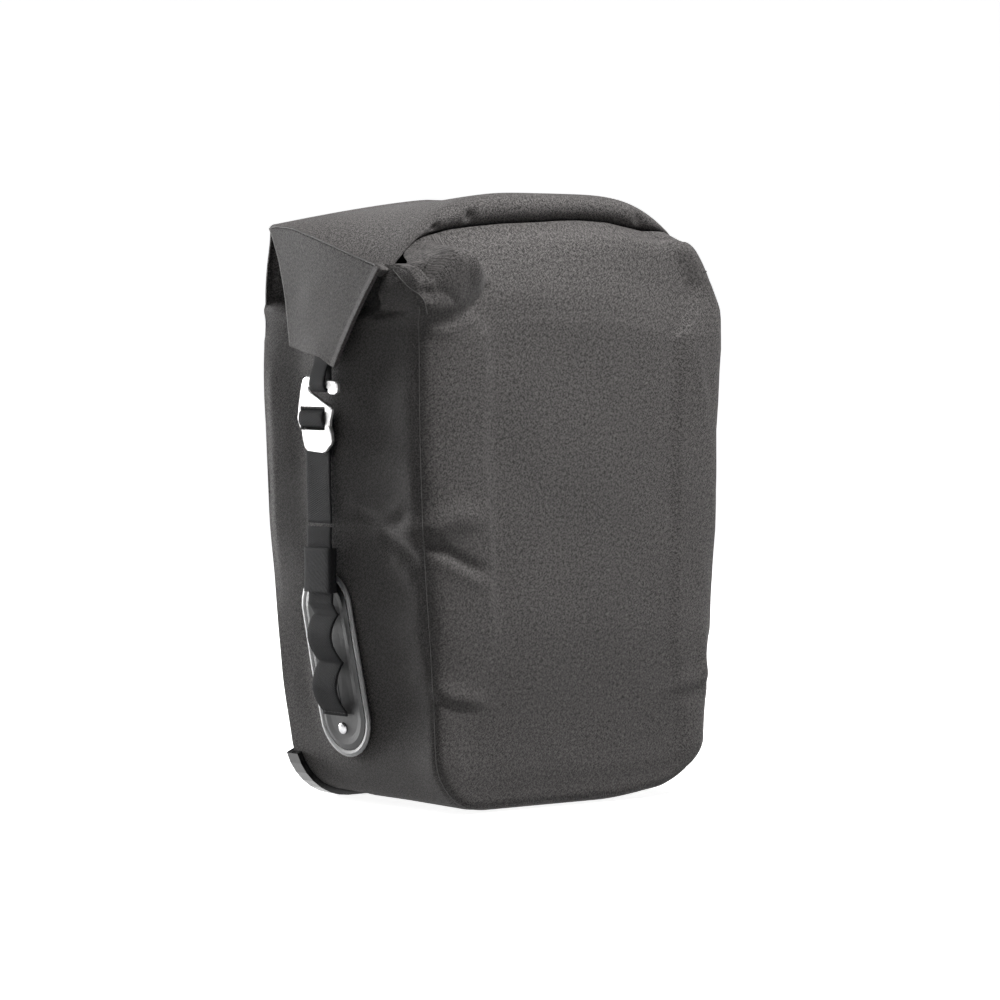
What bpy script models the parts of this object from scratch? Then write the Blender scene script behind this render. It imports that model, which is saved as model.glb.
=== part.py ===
"""Roll-top pannier bag: a welded fabric bag on a rigid rear panel, closed by a roll and two side straps.

Metres, +Z up. X runs across the bag, the front faces -Y and the bicycle rack is on the +Y side.
The origin is on the floor, at the middle of the bag's flat base. Profiles are written in millimetres
and scaled by mm().
"""

import math

import bmesh
import bpy
from mathutils import Matrix, Vector

MM = 0.001

# Driving dimensions of the fabric bag.
TOP_HALF = 0.1235  # half width from FULL_WIDTH_Z up
BASE_HALF = 0.1015  # half width that the taper starts from, at the floor
FULL_WIDTH_Z = 0.27
HALF_DEPTH = 0.069  # to the front and rear seams
CORNER_R = 0.032  # bottom corners, seen from the front
SEAM_BASE_Z = 0.004  # the seams' lowest line; the base panel sags from there to the floor
FABRIC = 0.0015
GAP = 0.0003  # between pieces that touch
GUSSET_TOP_Z = (0.302, 0.336)  # at its front and rear corners
LEAN_Z = 0.285  # the front panel leans back above this
FRONT_LIP_Y = -0.040  # the front panel's top edge, under the roll
FRONT_BULGE = 0.009

# The rolled closure.
REAR_DOME_Z = 0.370
REAR_CORNER_Z = 0.352
ROLL_TOP_Z = 0.373
ROLL_END_DROP = 0.045
ROLL_BEND_X = 0.118
ROLL_CENTRE_Y = -0.033
ROLL_HALF = (0.012, 0.0064)  # outer turn's half width and half height, at mid fabric
ROLL_PITCH = 0.0019
ROLL_TURNS = 2
ROLL_FABRIC = 0.0013
ROLL_HALF_LENGTH = 0.1246

# Webbing and the side straps. Distances called "out" are from the bag's middle plane.
WEB = 0.0015
STRAP_WIDTH = 0.0244
STRAP_Y = 0.0139
STRAP_OUT = 0.1256
SWING_Z = 0.172  # the strap folds outward about this height
HOOK_OUT = 0.1297
LOOP_WIDTH = 0.0150
LOOP_Y = 0.0080
HOOK_THICKNESS = 0.003
KEEPER_Z = (0.132, 0.157)

# The oval reinforcement on each side.
OVAL_CENTRE = (0.0135, 0.0875)
OVAL_HALF_WIDTH = 0.0213
OVAL_HALF_LENGTH = 0.0533
OVAL_TILT = math.radians(7.4)
OVAL_POINTS = 32
RIBBON_WIDTH = 0.0042
RIVET_YZ = (0.0115, 0.048)

# Rack hardware on the rear.
RAIL_HALF = 0.098
RAIL_HOLES_X = (-0.088, -0.018, 0.018, 0.088)
RAIL_Z = 0.281
HOOK_X = 0.062
HOOK_WIDTH = 0.034
LATCH_X = 0.0403
LATCH_WIDTH = 0.008
LATCH_PIVOT = (0.086, 0.3195)  # y, z
HANDLE_Y = 0.0725
LOW_RAIL_HALF = 0.066
LOW_RAIL_Z = 0.102
LOW_HOLES_X = (-0.057, 0.057)
BOARD_Y = (0.0642, 0.0672)
BOARD_TOP_Z = 0.318

COLOURS = {
    "fabric": ((0.075, 0.070, 0.068), 0.85, 0.0),
    "coated_fabric": ((0.060, 0.057, 0.055), 0.8, 0.0),
    "webbing": ((0.018, 0.018, 0.019), 0.8, 0.0),
    "black_plastic": ((0.022, 0.022, 0.023), 0.45, 0.0),
    "board_plastic": ((0.05, 0.05, 0.052), 0.6, 0.0),
    "reflective": ((0.42, 0.42, 0.42), 0.5, 0.0),
    "aluminium": ((0.80, 0.79, 0.78), 0.35, 1.0),
    "steel": ((0.45, 0.45, 0.46), 0.35, 1.0),
}


def mm(points):
    """Millimetres to metres."""
    return [tuple(value * MM for value in point) for point in points]


# ---------------------------------------------------------------- the bag's form


def half_width(z):
    rise = min(max(z, 0.0) / FULL_WIDTH_Z, 1.0)
    return BASE_HALF + (TOP_HALF - BASE_HALF) * (1 - (1 - rise) ** 2)


def half_span(z):
    """Half width of the seam outline at height z, with its rounded bottom corners."""
    below = SEAM_BASE_Z + CORNER_R - z
    if below <= 0:
        return half_width(z)
    return half_width(z) - CORNER_R + math.sqrt(max(CORNER_R**2 - below**2, 0.0))


def side_outline(z_top, corner_steps=6, rise_steps=9):
    """(x, z) points of the right seam, from the end of the base round the corner to z_top."""
    corner_top = SEAM_BASE_Z + CORNER_R
    points = []
    for step in range(corner_steps + 1):
        turn = step / corner_steps * math.pi / 2
        z = corner_top - CORNER_R * math.cos(turn)
        points.append((half_span(z), z))
    for step in range(1, rise_steps + 1):
        z = corner_top + (z_top - corner_top) * step / rise_steps
        points.append((half_span(z), z))
    return points


def rear_top_z(x):
    """Height of the rear panel's domed top edge."""
    return REAR_DOME_Z - (REAR_DOME_Z - REAR_CORNER_Z) * min(abs(x) / 0.123, 1.0) ** 1.5


def roll_top_z(x):
    """Height of the roll's top line, which bends down towards its ends."""
    return ROLL_TOP_Z - ROLL_END_DROP * min(abs(x) / ROLL_BEND_X, 1.0) ** 3.2


def roll_height():
    return 2 * ROLL_HALF[1] + ROLL_FABRIC


def front_lip_z(x):
    """Height of the front panel's top edge, under the roll."""
    return roll_top_z(x) - roll_height() - 0.0008 - 0.0018 * (abs(x) / ROLL_BEND_X) ** 3


def front_edge_y(z):
    """Depth of the front panel's side edge at height z."""
    rise = max(z - LEAN_Z, 0.0) / (front_lip_z(TOP_HALF) - LEAN_Z)
    return -HALF_DEPTH + (FRONT_LIP_Y + HALF_DEPTH) * rise**1.8


# ---------------------------------------------------------------- building blocks


def clear_scene():
    for obj in list(bpy.data.objects):
        bpy.data.objects.remove(obj, do_unlink=True)


def make_materials():
    made = {}
    for name, (colour, roughness, metallic) in COLOURS.items():
        material = bpy.data.materials.new(name)
        material.use_nodes = True
        shader = material.node_tree.nodes["Principled BSDF"]
        shader.inputs["Base Color"].default_value = (*colour, 1.0)
        shader.inputs["Roughness"].default_value = roughness
        shader.inputs["Metallic"].default_value = metallic
        made[name] = material
    return made


def new_collection(name):
    collection = bpy.data.collections.new(name)
    bpy.context.scene.collection.children.link(collection)
    return collection


def put(obj, material=None, collection=None):
    """Moves obj to the bag's collection, or another, and gives it a material."""
    for old in list(obj.users_collection):
        old.objects.unlink(obj)
    (collection or BAG).objects.link(obj)
    if material:
        obj.data.materials.clear()
        obj.data.materials.append(MATERIALS[material])
    return obj


def mesh_object(name, vertices, faces, material):
    mesh = bpy.data.meshes.new(name)
    mesh.from_pydata([Vector(v) for v in vertices], [], faces)
    mesh.validate()
    obj = bpy.data.objects.new(name, mesh)
    return put(obj, material)


def face_outwards(obj):
    form = bmesh.new()
    form.from_mesh(obj.data)
    bmesh.ops.recalc_face_normals(form, faces=form.faces)
    form.to_mesh(obj.data)
    form.free()
    return obj


def loft(name, sections, material):
    """A closed solid through sections of equal point count, capped at both ends."""
    count = len(sections[0])
    vertices = [point for section in sections for point in section]
    faces = []
    for row in range(len(sections) - 1):
        for column in range(count):
            following = (column + 1) % count
            low, high = row * count, (row + 1) * count
            faces.append((low + column, low + following, high + following, high + column))
    faces.append(tuple(reversed(range(count))))
    last = (len(sections) - 1) * count
    faces.append(tuple(range(last, last + count)))
    return face_outwards(mesh_object(name, vertices, faces, material))


def shell(name, rows, thickness, material, ring=False):
    """A sheet through rows of points, thickened by thickness on the side that its normals leave."""
    count = len(rows[0])
    vertices = [point for row in rows for point in row]
    faces = []
    for row in range(len(rows) - 1):
        for column in range(count if ring else count - 1):
            following = (column + 1) % count
            low, high = row * count, (row + 1) * count
            faces.append((low + column, low + following, high + following, high + column))
    obj = mesh_object(name, vertices, faces, material)
    solidify = obj.modifiers.new("thickness", "SOLIDIFY")
    solidify.thickness = thickness
    solidify.offset = -1
    solidify.use_even_offset = True
    return obj


def flat_outline(name, points, thickness, plane, centre, material, rounding=0.0):
    """A plate: points in its plane, 'yz', 'xz' or 'xy', centred on the third axis."""
    curve = bpy.data.curves.new(name, "CURVE")
    curve.dimensions = "2D"
    curve.fill_mode = "BOTH"
    curve.extrude = thickness / 2 - rounding
    curve.bevel_depth = rounding
    curve.offset = -rounding
    curve.bevel_resolution = 1
    spline = curve.splines.new("POLY")
    spline.points.add(len(points) - 1)
    for slot, (a, b) in zip(spline.points, points):
        slot.co = (a, b, 0, 1)
    spline.use_cyclic_u = True
    obj = bpy.data.objects.new(name, curve)
    quarter = math.pi / 2
    if plane == "yz":
        obj.rotation_euler = (quarter, 0, quarter)
        obj.location = (centre, 0, 0)
    elif plane == "xz":
        obj.rotation_euler = (quarter, 0, 0)
        obj.location = (0, centre, 0)
    else:
        obj.location = (0, 0, centre)
    return welded(put(obj, material))


def welded(obj):
    """Replaces a curve by its mesh, with the caps welded."""
    bpy.context.view_layer.update()
    graph = bpy.context.evaluated_depsgraph_get()
    mesh = bpy.data.meshes.new_from_object(obj.evaluated_get(graph))
    form = bmesh.new()
    form.from_mesh(mesh)
    bmesh.ops.remove_doubles(form, verts=form.verts, dist=1e-6)
    bmesh.ops.recalc_face_normals(form, faces=form.faces)
    form.to_mesh(mesh)
    form.free()
    name, matrix, material = obj.name, obj.matrix_world.copy(), obj.data.materials[0]
    bpy.data.objects.remove(obj, do_unlink=True)
    made = bpy.data.objects.new(name, mesh)
    made.matrix_world = matrix
    put(made)
    made.data.materials.clear()
    made.data.materials.append(material)
    return made


def box(name, low, high, material, rounding=0.0):
    size = Vector(high) - Vector(low)
    bpy.ops.mesh.primitive_cube_add(size=1, location=(Vector(low) + Vector(high)) / 2)
    obj = bpy.context.active_object
    obj.name = name
    obj.data.transform(Matrix.Diagonal((*size, 1)))
    if rounding:
        bevel = obj.modifiers.new("rounding", "BEVEL")
        bevel.width = rounding
        bevel.segments = 2
    return put(obj, material)


def cylinder(name, radius, start, end, material, vertices=20):
    """A cylinder from start to end, along one axis."""
    along = Vector(end) - Vector(start)
    bpy.ops.mesh.primitive_cylinder_add(radius=radius, depth=along.length, vertices=vertices)
    obj = bpy.context.active_object
    obj.name = name
    obj.rotation_euler = along.to_track_quat("Z", "Y").to_euler()
    obj.location = (Vector(start) + Vector(end)) / 2
    return put(obj, material)


def turned(name, profile, origin, direction, material, steps=20):
    """A turned piece: profile of (radius, height), from its top to its foot, about direction."""
    mesh = bpy.data.meshes.new(name)
    edges = [(i, i + 1) for i in range(len(profile) - 1)]
    mesh.from_pydata([(radius, 0, height) for radius, height in profile], edges, [])
    obj = bpy.data.objects.new(name, mesh)
    turn = obj.modifiers.new("turn", "SCREW")
    turn.steps = steps
    turn.render_steps = steps
    turn.use_merge_vertices = True
    turn.merge_threshold = 1e-6
    obj.rotation_euler = Vector(direction).to_track_quat("Z", "Y").to_euler()
    obj.location = origin
    return put(obj, material)


def cut(obj, cutter):
    """Takes cutter out of obj."""
    put(cutter, collection=CUTTERS)
    cutter.hide_render = True
    cutter.display_type = "WIRE"
    boolean = obj.modifiers.new("cut " + cutter.name, "BOOLEAN")
    boolean.operation = "DIFFERENCE"
    boolean.object = cutter
    return obj


def cut_hole(obj, name, radius, start, end):
    return cut(obj, cylinder(name, radius, start, end, "steel", vertices=16))


def ribbon_outline(path, thickness):
    """The closed outline of a strip that follows path, thickness / 2 to each side."""
    left, right = [], []
    for index, point in enumerate(path):
        before = Vector(path[max(index - 1, 0)])
        after = Vector(path[min(index + 1, len(path) - 1)])
        here = Vector(point)
        into = (here - before).normalized() if index else (after - here).normalized()
        out_of = (after - here).normalized() if index < len(path) - 1 else into
        mean = (into + out_of).normalized()
        normal = Vector((-mean.y, mean.x))
        reach = thickness / 2 / max(mean.dot(into), 0.5)
        left.append(tuple(here + normal * reach))
        right.append(tuple(here - normal * reach))
    return left + right[::-1]


def arc(centre, radius, start, end, steps):
    """Points on an arc, in degrees, both ends included."""
    angles = [math.radians(start + (end - start) * i / steps) for i in range(steps + 1)]
    return [(centre[0] + radius * math.cos(a), centre[1] + radius * math.sin(a)) for a in angles]


# ---------------------------------------------------------------- fabric bag


def front_surface(u, v):
    """The front panel's outer face: u from -1 to 1 across, v from 0 at the base to 1 at the roll."""
    lean_from = 0.72
    if v <= lean_from:
        z = SEAM_BASE_Z + (LEAN_Z - SEAM_BASE_Z) * (v / lean_from) ** 1.35
        x = u * half_span(z)
        lean = 0.0
    else:
        rise = (v - lean_from) / (1 - lean_from)
        x = u * half_span(LEAN_Z)
        z = LEAN_Z + (front_lip_z(x) - LEAN_Z) * rise
        lean = rise**1.8
    swell = (1 - abs(u) ** 2.5) * math.sin(math.pi * min(0.06 + v * 0.8, 1.0)) ** 0.7
    y = -HALF_DEPTH - FRONT_BULGE * swell
    return (x, y + (FRONT_LIP_Y - y) * lean, z)


def make_front_panel():
    columns, rows = 12, 14
    grid = [
        [front_surface(2 * column / columns - 1, row / rows) for column in range(columns + 1)]
        for row in range(rows + 1)
    ]
    shell("front_panel", grid, FABRIC, "fabric")


def rivet_line(side, start, end):
    """Two points on the oval's rivet axis, start and end out from the gusset's face."""
    y, z = RIVET_YZ
    slope = (half_width(z + 0.002) - half_width(z - 0.002)) / 0.004
    normal = Vector((1, 0, -slope)).normalized()
    points = [Vector((half_width(z), y, z)) + normal * out for out in (start, end)]
    return [(side * point.x, point.y, point.z) for point in points]


def make_gusset(side):
    """Side panel: from the base round the bottom corner and up. side is -1 left, 1 right."""
    rear = HALF_DEPTH - FABRIC - GAP
    rows = []
    for x, z in side_outline(LEAN_Z, rise_steps=9):
        front = -HALF_DEPTH + FABRIC + 3 * GAP
        rows.append([(side * x, front + (rear - front) * step / 4, z) for step in range(5)])
    for rise in (0.33, 0.67, 1.0):
        row = []
        for step in range(5):
            top = GUSSET_TOP_Z[0] + (GUSSET_TOP_Z[1] - GUSSET_TOP_Z[0]) * step / 4
            z = LEAN_Z + (top - LEAN_Z) * rise
            lean_z = LEAN_Z + (GUSSET_TOP_Z[0] - LEAN_Z) * rise
            front = front_edge_y(lean_z) + FABRIC + 3 * GAP + (lean_z - LEAN_Z) * 0.06
            row.append((side * half_width(z), front + (rear - front) * step / 4, z))
        rows.append(row)
    rows = [row[::side] for row in rows]
    obj = shell("gusset_" + NAMES[side], rows, FABRIC, "fabric")
    cut_hole(obj, "gusset_rivet_hole_" + NAMES[side], 0.0019, *rivet_line(side, -0.01, 0.01))


def make_base_panel():
    """The base sags from the seams to a flat foot on the floor."""
    half_x = half_span(SEAM_BASE_Z) - GAP
    half_y = HALF_DEPTH - FABRIC - GAP
    steps_x = (-1, -0.93, -0.8, 0.8, 0.93, 1)
    steps_y = (-1, -0.9, -0.78, 0.62, 0.76, 0.84, 1)
    rows = []
    for step_y in steps_y:
        row = []
        for step_x in steps_x:
            flat = abs(step_x) <= 0.8 and -0.78 <= step_y <= 0.62
            edge = max(abs(step_x), abs(step_y)) >= 1 or step_y >= 0.84
            z = 0.0 if flat else SEAM_BASE_Z if edge else SEAM_BASE_Z * 0.45
            row.append((-step_x * half_x, step_y * half_y, z))
        rows.append(row)
    shell("base_panel", rows, FABRIC, "fabric")


def rear_outline(inset, z_side, z_top):
    """The seam outline drawn in by inset, up to z_side, with its top edge given by z_top(x)."""
    right = [(x - inset, z) for x, z in side_outline(z_side) if z > SEAM_BASE_Z + inset - 1e-6]
    half = right[-1][0]
    top = [(half * (1 - step / 5), z_top(half * (1 - step / 5))) for step in range(11)]
    left = [(-x, z) for x, z in reversed(right)]
    return right + top + left


def make_rear_panel():
    outline = rear_outline(0.0, REAR_CORNER_Z - 0.004, lambda x: rear_top_z(x) - GAP)
    panel = flat_outline("rear_panel", outline, FABRIC, "xz", HALF_DEPTH - FABRIC / 2, "fabric")
    low, high = BOARD_Y
    outline = rear_outline(0.008, BOARD_TOP_Z - 0.004, lambda x: BOARD_TOP_Z)
    board = flat_outline("stiffener_board", outline, high - low, "xz", (low + high) / 2, "board_plastic")
    for obj in (panel, board):
        for x in RAIL_HOLES_X:
            cut_hole(obj, obj.name + "_hole", 0.0022, (x, 0.06, RAIL_Z), (x, 0.073, RAIL_Z))
        for x in LOW_HOLES_X:
            cut_hole(obj, obj.name + "_low_hole", 0.0022, (x, 0.06, LOW_RAIL_Z), (x, 0.073, LOW_RAIL_Z))
    for x in GUARD_SCREWS_X:
        cut_hole(panel, "panel_guard_hole", 0.0018, (x, 0.06, GUARD_SCREW_Z), (x, 0.073, GUARD_SCREW_Z))


# ---------------------------------------------------------------- rolled closure


def roll_centreline(x):
    """(y, z) from the rear edge over the top, then spiralling into the roll."""
    rear_z = rear_top_z(x) + ROLL_FABRIC / 2 + GAP
    top_z = roll_top_z(x) - ROLL_FABRIC / 2
    centre = (ROLL_CENTRE_Y, top_z - ROLL_HALF[1])
    rear_y = HALF_DEPTH - FABRIC / 2
    points = []
    for step in range(5):
        share = step / 5
        ease = share * share * (3 - 2 * share)
        points.append((rear_y + (centre[0] - rear_y) * share, rear_z + (top_z - rear_z) * ease))
    per_turn = 16
    for step in range(ROLL_TURNS * per_turn + 1):
        turn = 2 * math.pi * step / per_turn
        shrink = ROLL_PITCH * step / per_turn
        across = ROLL_HALF[0] - shrink
        up = ROLL_HALF[1] - shrink
        points.append((centre[0] - across * math.sin(turn), centre[1] + up * math.cos(turn)))
    return points


def make_roll():
    stations = [ROLL_HALF_LENGTH * step for step in (-1, -0.93, -0.82, -0.66, -0.45, -0.22)]
    stations += [0.0] + [-x for x in reversed(stations)]
    sections = []
    for x in stations:
        outline = ribbon_outline(roll_centreline(x), ROLL_FABRIC)
        sections.append([(x, y, z) for y, z in outline])
    loft("roll_closure", sections, "fabric")
    batten = []
    for x in stations[1:-1]:
        z = roll_top_z(x) - ROLL_FABRIC / 2 - ROLL_HALF[1]
        half_y, half_z = 0.0055, 0.0007
        corners = ((-half_y, -half_z), (half_y, -half_z), (half_y, half_z), (-half_y, half_z))
        batten.append([(x, ROLL_CENTRE_Y + y, z + up) for y, up in corners])
    loft("closure_batten", batten, "board_plastic")


def make_flap(side):
    """The roll's flattened end, folded down over the side of the bag."""
    outline = mm([(62, 350.5), (-44, 327.5), (-46, 324), (-10, 270), (-6, 268), (37, 277), (40, 280)])
    middle = side * (ROLL_HALF_LENGTH + 0.0005 + 0.003)
    flat_outline("roll_flap_" + NAMES[side], outline, 0.006, "yz", middle, "fabric", rounding=0.0012)


def make_closure_loop(side):
    """The webbing loop under the flap, round the hook's top bar."""
    bottom, top, half = 0.2551, 0.2665, 0.0027
    path = [(HOOK_OUT - half, top), (HOOK_OUT - half, bottom)]
    path += arc((HOOK_OUT, bottom), half, 180, 360, 6)[1:-1]
    path += [(HOOK_OUT + half, bottom), (HOOK_OUT + half, top - 0.004), (HOOK_OUT + half * 0.2, top)]
    path += [(HOOK_OUT - half + WEB + GAP, top)]
    outline = [(side * out, z) for out, z in ribbon_outline(path, 0.0012)]
    flat_outline("closure_loop_" + NAMES[side], outline, LOOP_WIDTH, "xz", LOOP_Y, "webbing")


# ---------------------------------------------------------------- side straps

HOOK_OUTLINE = [
    (-9.2, 258.4), (20.5, 261.3), (23.6, 259.8), (25.6, 256.5), (28.4, 243), (29.6, 236), (28.4, 232.5),
    (25.0, 228), (23.4, 221.5), (22.2, 218.6), (19.4, 216.4), (4.3, 215.4), (1.6, 216.2), (-3.6, 220.6),
    (-4.7, 223.4), (-4.2, 227.5), (-2.4, 232), (-2.6, 235), (-4.2, 239.4), (-4.6, 241.8), (-3.3, 243.4),
    (15.8, 251.6), (18.2, 253.2), (18.4, 255.0), (-0.8, 254.2), (-1.3, 252.0), (-3.2, 250.8),
    (-7.6, 250.6), (-9.9, 251.8), (-10.5, 254.5), (-10.3, 257.2),
]  # fmt: skip
HOOK_SLOTS = ((1.4, 26.2, 229.0, 234.2), (1.4, 26.2, 238.0, 243.2))


def make_g_hook(side):
    """Open-topped hook: the strap threads its two slots, the closure loop hangs on its top bar."""
    middle = side * HOOK_OUT
    name = "g_hook_" + NAMES[side]
    hook = flat_outline(name, mm(HOOK_OUTLINE), HOOK_THICKNESS, "yz", middle, "aluminium", 0.0007)
    for number, (y_low, y_high, z_low, z_high) in enumerate(HOOK_SLOTS):
        low = (middle - 0.005, y_low * MM, z_low * MM)
        high = (middle + 0.005, y_high * MM, z_high * MM)
        cut(hook, box(f"hook_slot_{NAMES[side]}_{number}", low, high, "steel"))


def make_strap_upper(side):
    """From the swing line up behind the hook, out over its middle bar and back down as a tail."""
    path = [(125.6, 173.4), (126.1, 200), (126.7, 222), (126.9, 228.4), (127.5, 230.4), (131.2, 231.7)]
    path += [(132.3, 232.8), (132.6, 234.6), (132.6, 237.6), (132.3, 239.4), (131.2, 240.6)]
    path += [(128.4, 241.2), (126.6, 241.2), (125.3, 240.0), (125.0, 237.6), (124.9, 214)]
    outline = [(side * out, z) for out, z in ribbon_outline(mm(path), WEB * 0.9)]
    flat_outline("strap_upper_" + NAMES[side], outline, STRAP_WIDTH, "xz", STRAP_Y, "webbing")


def make_strap_lower(side):
    """From the swing line down through the keeper, then stitched to the oval in arches."""
    top = SWING_Z - 0.00135
    path = [(STRAP_OUT, top), (STRAP_OUT, 0.145), (STRAP_OUT, 0.1215)]
    stitched = (0.1165, 0.0865, 0.0580)
    rise, steps = 0.0065, 5
    for start, end in zip(stitched[:-1], stitched[1:]):
        for step in range(steps):
            share = step / steps
            z = start + (end - start) * share
            path.append((half_width(z) + 0.0042 + rise * math.sin(math.pi * share), z))
    path.append((half_width(stitched[-1]) + 0.0042, stitched[-1]))
    outline = [(side * out, z) for out, z in ribbon_outline(path, WEB)]
    flat_outline("strap_lower_" + NAMES[side], outline, STRAP_WIDTH, "xz", STRAP_Y, "webbing")


def make_keeper(side):
    """A sleeve that slides along the strap and holds its slack."""
    low, high = KEEPER_Z
    y_half, out_half, wall = STRAP_WIDTH / 2 + 0.0008, 0.0017, 0.0014
    middle = side * (STRAP_OUT)
    outer_low = (middle - out_half - wall, STRAP_Y - y_half - wall, low)
    outer_high = (middle + out_half + wall, STRAP_Y + y_half + wall, high)
    sleeve = box("keeper_" + NAMES[side], outer_low, outer_high, "webbing")
    inner_low = (middle - out_half, STRAP_Y - y_half, low - 0.005)
    inner_high = (middle + out_half, STRAP_Y + y_half, high + 0.005)
    cut(sleeve, box("keeper_hollow_" + NAMES[side], inner_low, inner_high, "steel"))


def oval_point(angle, grow):
    """(y, z) on the oval's edge grown outwards by grow."""
    radius = OVAL_HALF_WIDTH + grow
    straight = OVAL_HALF_LENGTH - OVAL_HALF_WIDTH
    along = radius * math.sin(angle) + math.copysign(straight, math.sin(angle))
    if abs(math.sin(angle)) < 1e-6:
        along = 0.0
    across = radius * math.cos(angle)
    y = OVAL_CENTRE[0] + across * math.cos(OVAL_TILT) + along * math.sin(OVAL_TILT)
    z = OVAL_CENTRE[1] - across * math.sin(OVAL_TILT) + along * math.cos(OVAL_TILT)
    return y, z


def oval_row(side, grow, out, count=OVAL_POINTS):
    """A ring of points round the oval, out from the gusset's face."""
    row = []
    for index in range(count):
        y, z = oval_point(2 * math.pi * index / count, grow)
        row.append((side * (half_width(z) + out), y * side, z))
    return row


def mirrored(rows, side):
    """oval_row turns with the side, so that normals leave the bag: this puts y back."""
    return [[(x, y * side, z) for x, y, z in row] for row in rows]


def make_oval(side):
    """A dished reinforcement plate with a reflective ribbon round it."""
    wall = 0.0011
    rim = [oval_row(1, grow, out) for grow, out in ((-0.0002, 0.0017), (-0.0035, 0.0024), (-0.0075, 0.0018))]
    rim += [oval_row(1, -0.0125, 0.0016), oval_row(1, -0.0200, 0.0016)]
    vertices = [(side * x, y, z) for row in rim for x, y, z in row]
    faces = []
    count = OVAL_POINTS
    for row in range(len(rim) - 1):
        for column in range(count):
            following = (column + 1) % count
            low, high = row * count, (row + 1) * count
            quad = (low + column, low + following, high + following, high + column)
            faces.append(quad if side > 0 else quad[::-1])
    last = (len(rim) - 1) * count
    cap = tuple(range(last, last + count))
    faces.append(cap if side > 0 else cap[::-1])
    plate = mesh_object("oval_plate_" + NAMES[side], vertices, faces, "black_plastic")
    solidify = plate.modifiers.new("thickness", "SOLIDIFY")
    solidify.thickness = wall
    solidify.offset = -1
    cut_hole(plate, "plate_rivet_hole_" + NAMES[side], 0.0019, *rivet_line(side, -0.01, 0.01))

    ribbon_rows = [(GAP, 0.0016), (RIBBON_WIDTH / 2, 0.0020), (RIBBON_WIDTH, 0.0014)]
    rows = [oval_row(1, grow, out) for grow, out in reversed(ribbon_rows)]
    rows = [[(side * x, y, z) for x, y, z in (row if side > 0 else row[::-1])] for row in rows]
    shell("reflective_ribbon_" + NAMES[side], rows, 0.0009, "reflective", ring=True)


def make_rivet(side):
    """A domed rivet through the oval plate and the gusset."""
    dome = [(0.0037 * math.sin(math.radians(a)), 0.0016 * math.cos(math.radians(a))) for a in (0, 30, 60, 90)]
    length = 0.0016 + FABRIC + 3 * GAP
    profile = dome + [(0.0015, 0.0), (0.0015, -length), (0.0030, -length), (0.0030, -length - 0.0009)]
    profile += [(0.0, -length - 0.0009)]
    seat, ahead = rivet_line(side, 0.0016 + 1.5 * GAP, 0.01)
    turned("rivet_" + NAMES[side], profile, seat, Vector(ahead) - Vector(seat), "aluminium", steps=16)


# ---------------------------------------------------------------- edge guard

GUARD_SCREWS_X = (-0.060, 0.060)
GUARD_SCREW_Z = 0.0090
GUARD_TOP_Z = 0.031


def make_guard():
    """An angle-section edge guard round the rear bottom edge, from one side to the other."""
    section = mm([(4.0, 60.5), (4.0, 71.6), (3.4, 72.3), (-9, 72.3), (-9, 69.3), (0.3, 69.3), (0.3, 60.5)])
    right = [(x, z) for x, z in side_outline(REAR_CORNER_Z, 8, 60) if z <= GUARD_TOP_Z + CORNER_R / 8]
    path = [(-x, z) for x, z in reversed(right)] + right
    sections = []
    for index, (x, z) in enumerate(path):
        before, after = path[max(index - 1, 0)], path[min(index + 1, len(path) - 1)]
        along = (Vector(after) - Vector(before)).normalized()
        outward = Vector((along.y, -along.x))
        sections.append([(x + outward.x * out, y, z + outward.y * out) for out, y in section])
    guard = loft("edge_guard", sections, "black_plastic")
    for x in GUARD_SCREWS_X:
        cut_hole(guard, "guard_hole", 0.0018, (x, 0.066, GUARD_SCREW_Z), (x, 0.076, GUARD_SCREW_Z))
    profile = mm([(0, 2.0), (2.2, 1.7), (3.4, 0.6), (3.4, 0), (1.5, 0), (1.5, -5.7), (2.8, -5.7), (2.8, -6.6), (0, -6.6)])
    for side, x in zip((-1, 1), GUARD_SCREWS_X):
        place = (x, 0.0726, GUARD_SCREW_Z)
        turned("guard_rivet_" + NAMES[side], profile, place, (0, 1, 0), "steel", steps=16)


# ---------------------------------------------------------------- rack hardware


def rail_profile(middle, half_height, front):
    """(y, z) of a rail with a foot on the bag and a flange that sliders grip."""
    foot, neck, y0 = 2.4, half_height - 4, 69.3
    right = [(y0, half_height), (y0 + foot, half_height), (y0 + foot, neck), (front - 3, neck)]
    right += [(front - 3, half_height), (front - 0.6, half_height), (front, half_height - 0.6)]
    return [(y, middle + z) for y, z in right] + [(y, middle - z) for y, z in reversed(right)]


def make_rail(name, half_length, middle, half_height, front, holes):
    profile = mm(rail_profile(middle, half_height, front))
    rail = flat_outline(name, profile, 2 * half_length, "yz", 0, "black_plastic")
    z = middle * MM
    for x in holes:
        cut_hole(rail, name + "_hole", 0.0022, (x, 0.065, z), (x, 0.0755, z))
    return rail


def make_rail_screws():
    """Flanged screws from inside the bag, through the board and rear panel into the rails."""
    shank = BOARD_Y[0] - GAP
    profile = mm([(0, 11.2), (1.7, 11.2), (1.9, 10.6), (1.9, 0), (4.6, 0), (4.6, -0.8), (3.0, -1.7), (0, -1.8)])
    for number, x in enumerate(RAIL_HOLES_X, 1):
        turned(f"rail_screw_{number}", profile, (x, shank, RAIL_Z), (0, 1, 0), "steel", steps=16)
    short = [(radius, min(height, 0.0094)) for radius, height in profile]
    short = short[:1] + short[1:2] + [(0.0019, 0.0088)] + short[3:]
    for side, x in zip((-1, 1), LOW_HOLES_X):
        turned("low_rail_screw_" + NAMES[side], short, (x, shank, LOW_RAIL_Z), (0, 1, 0), "steel", steps=16)


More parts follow.
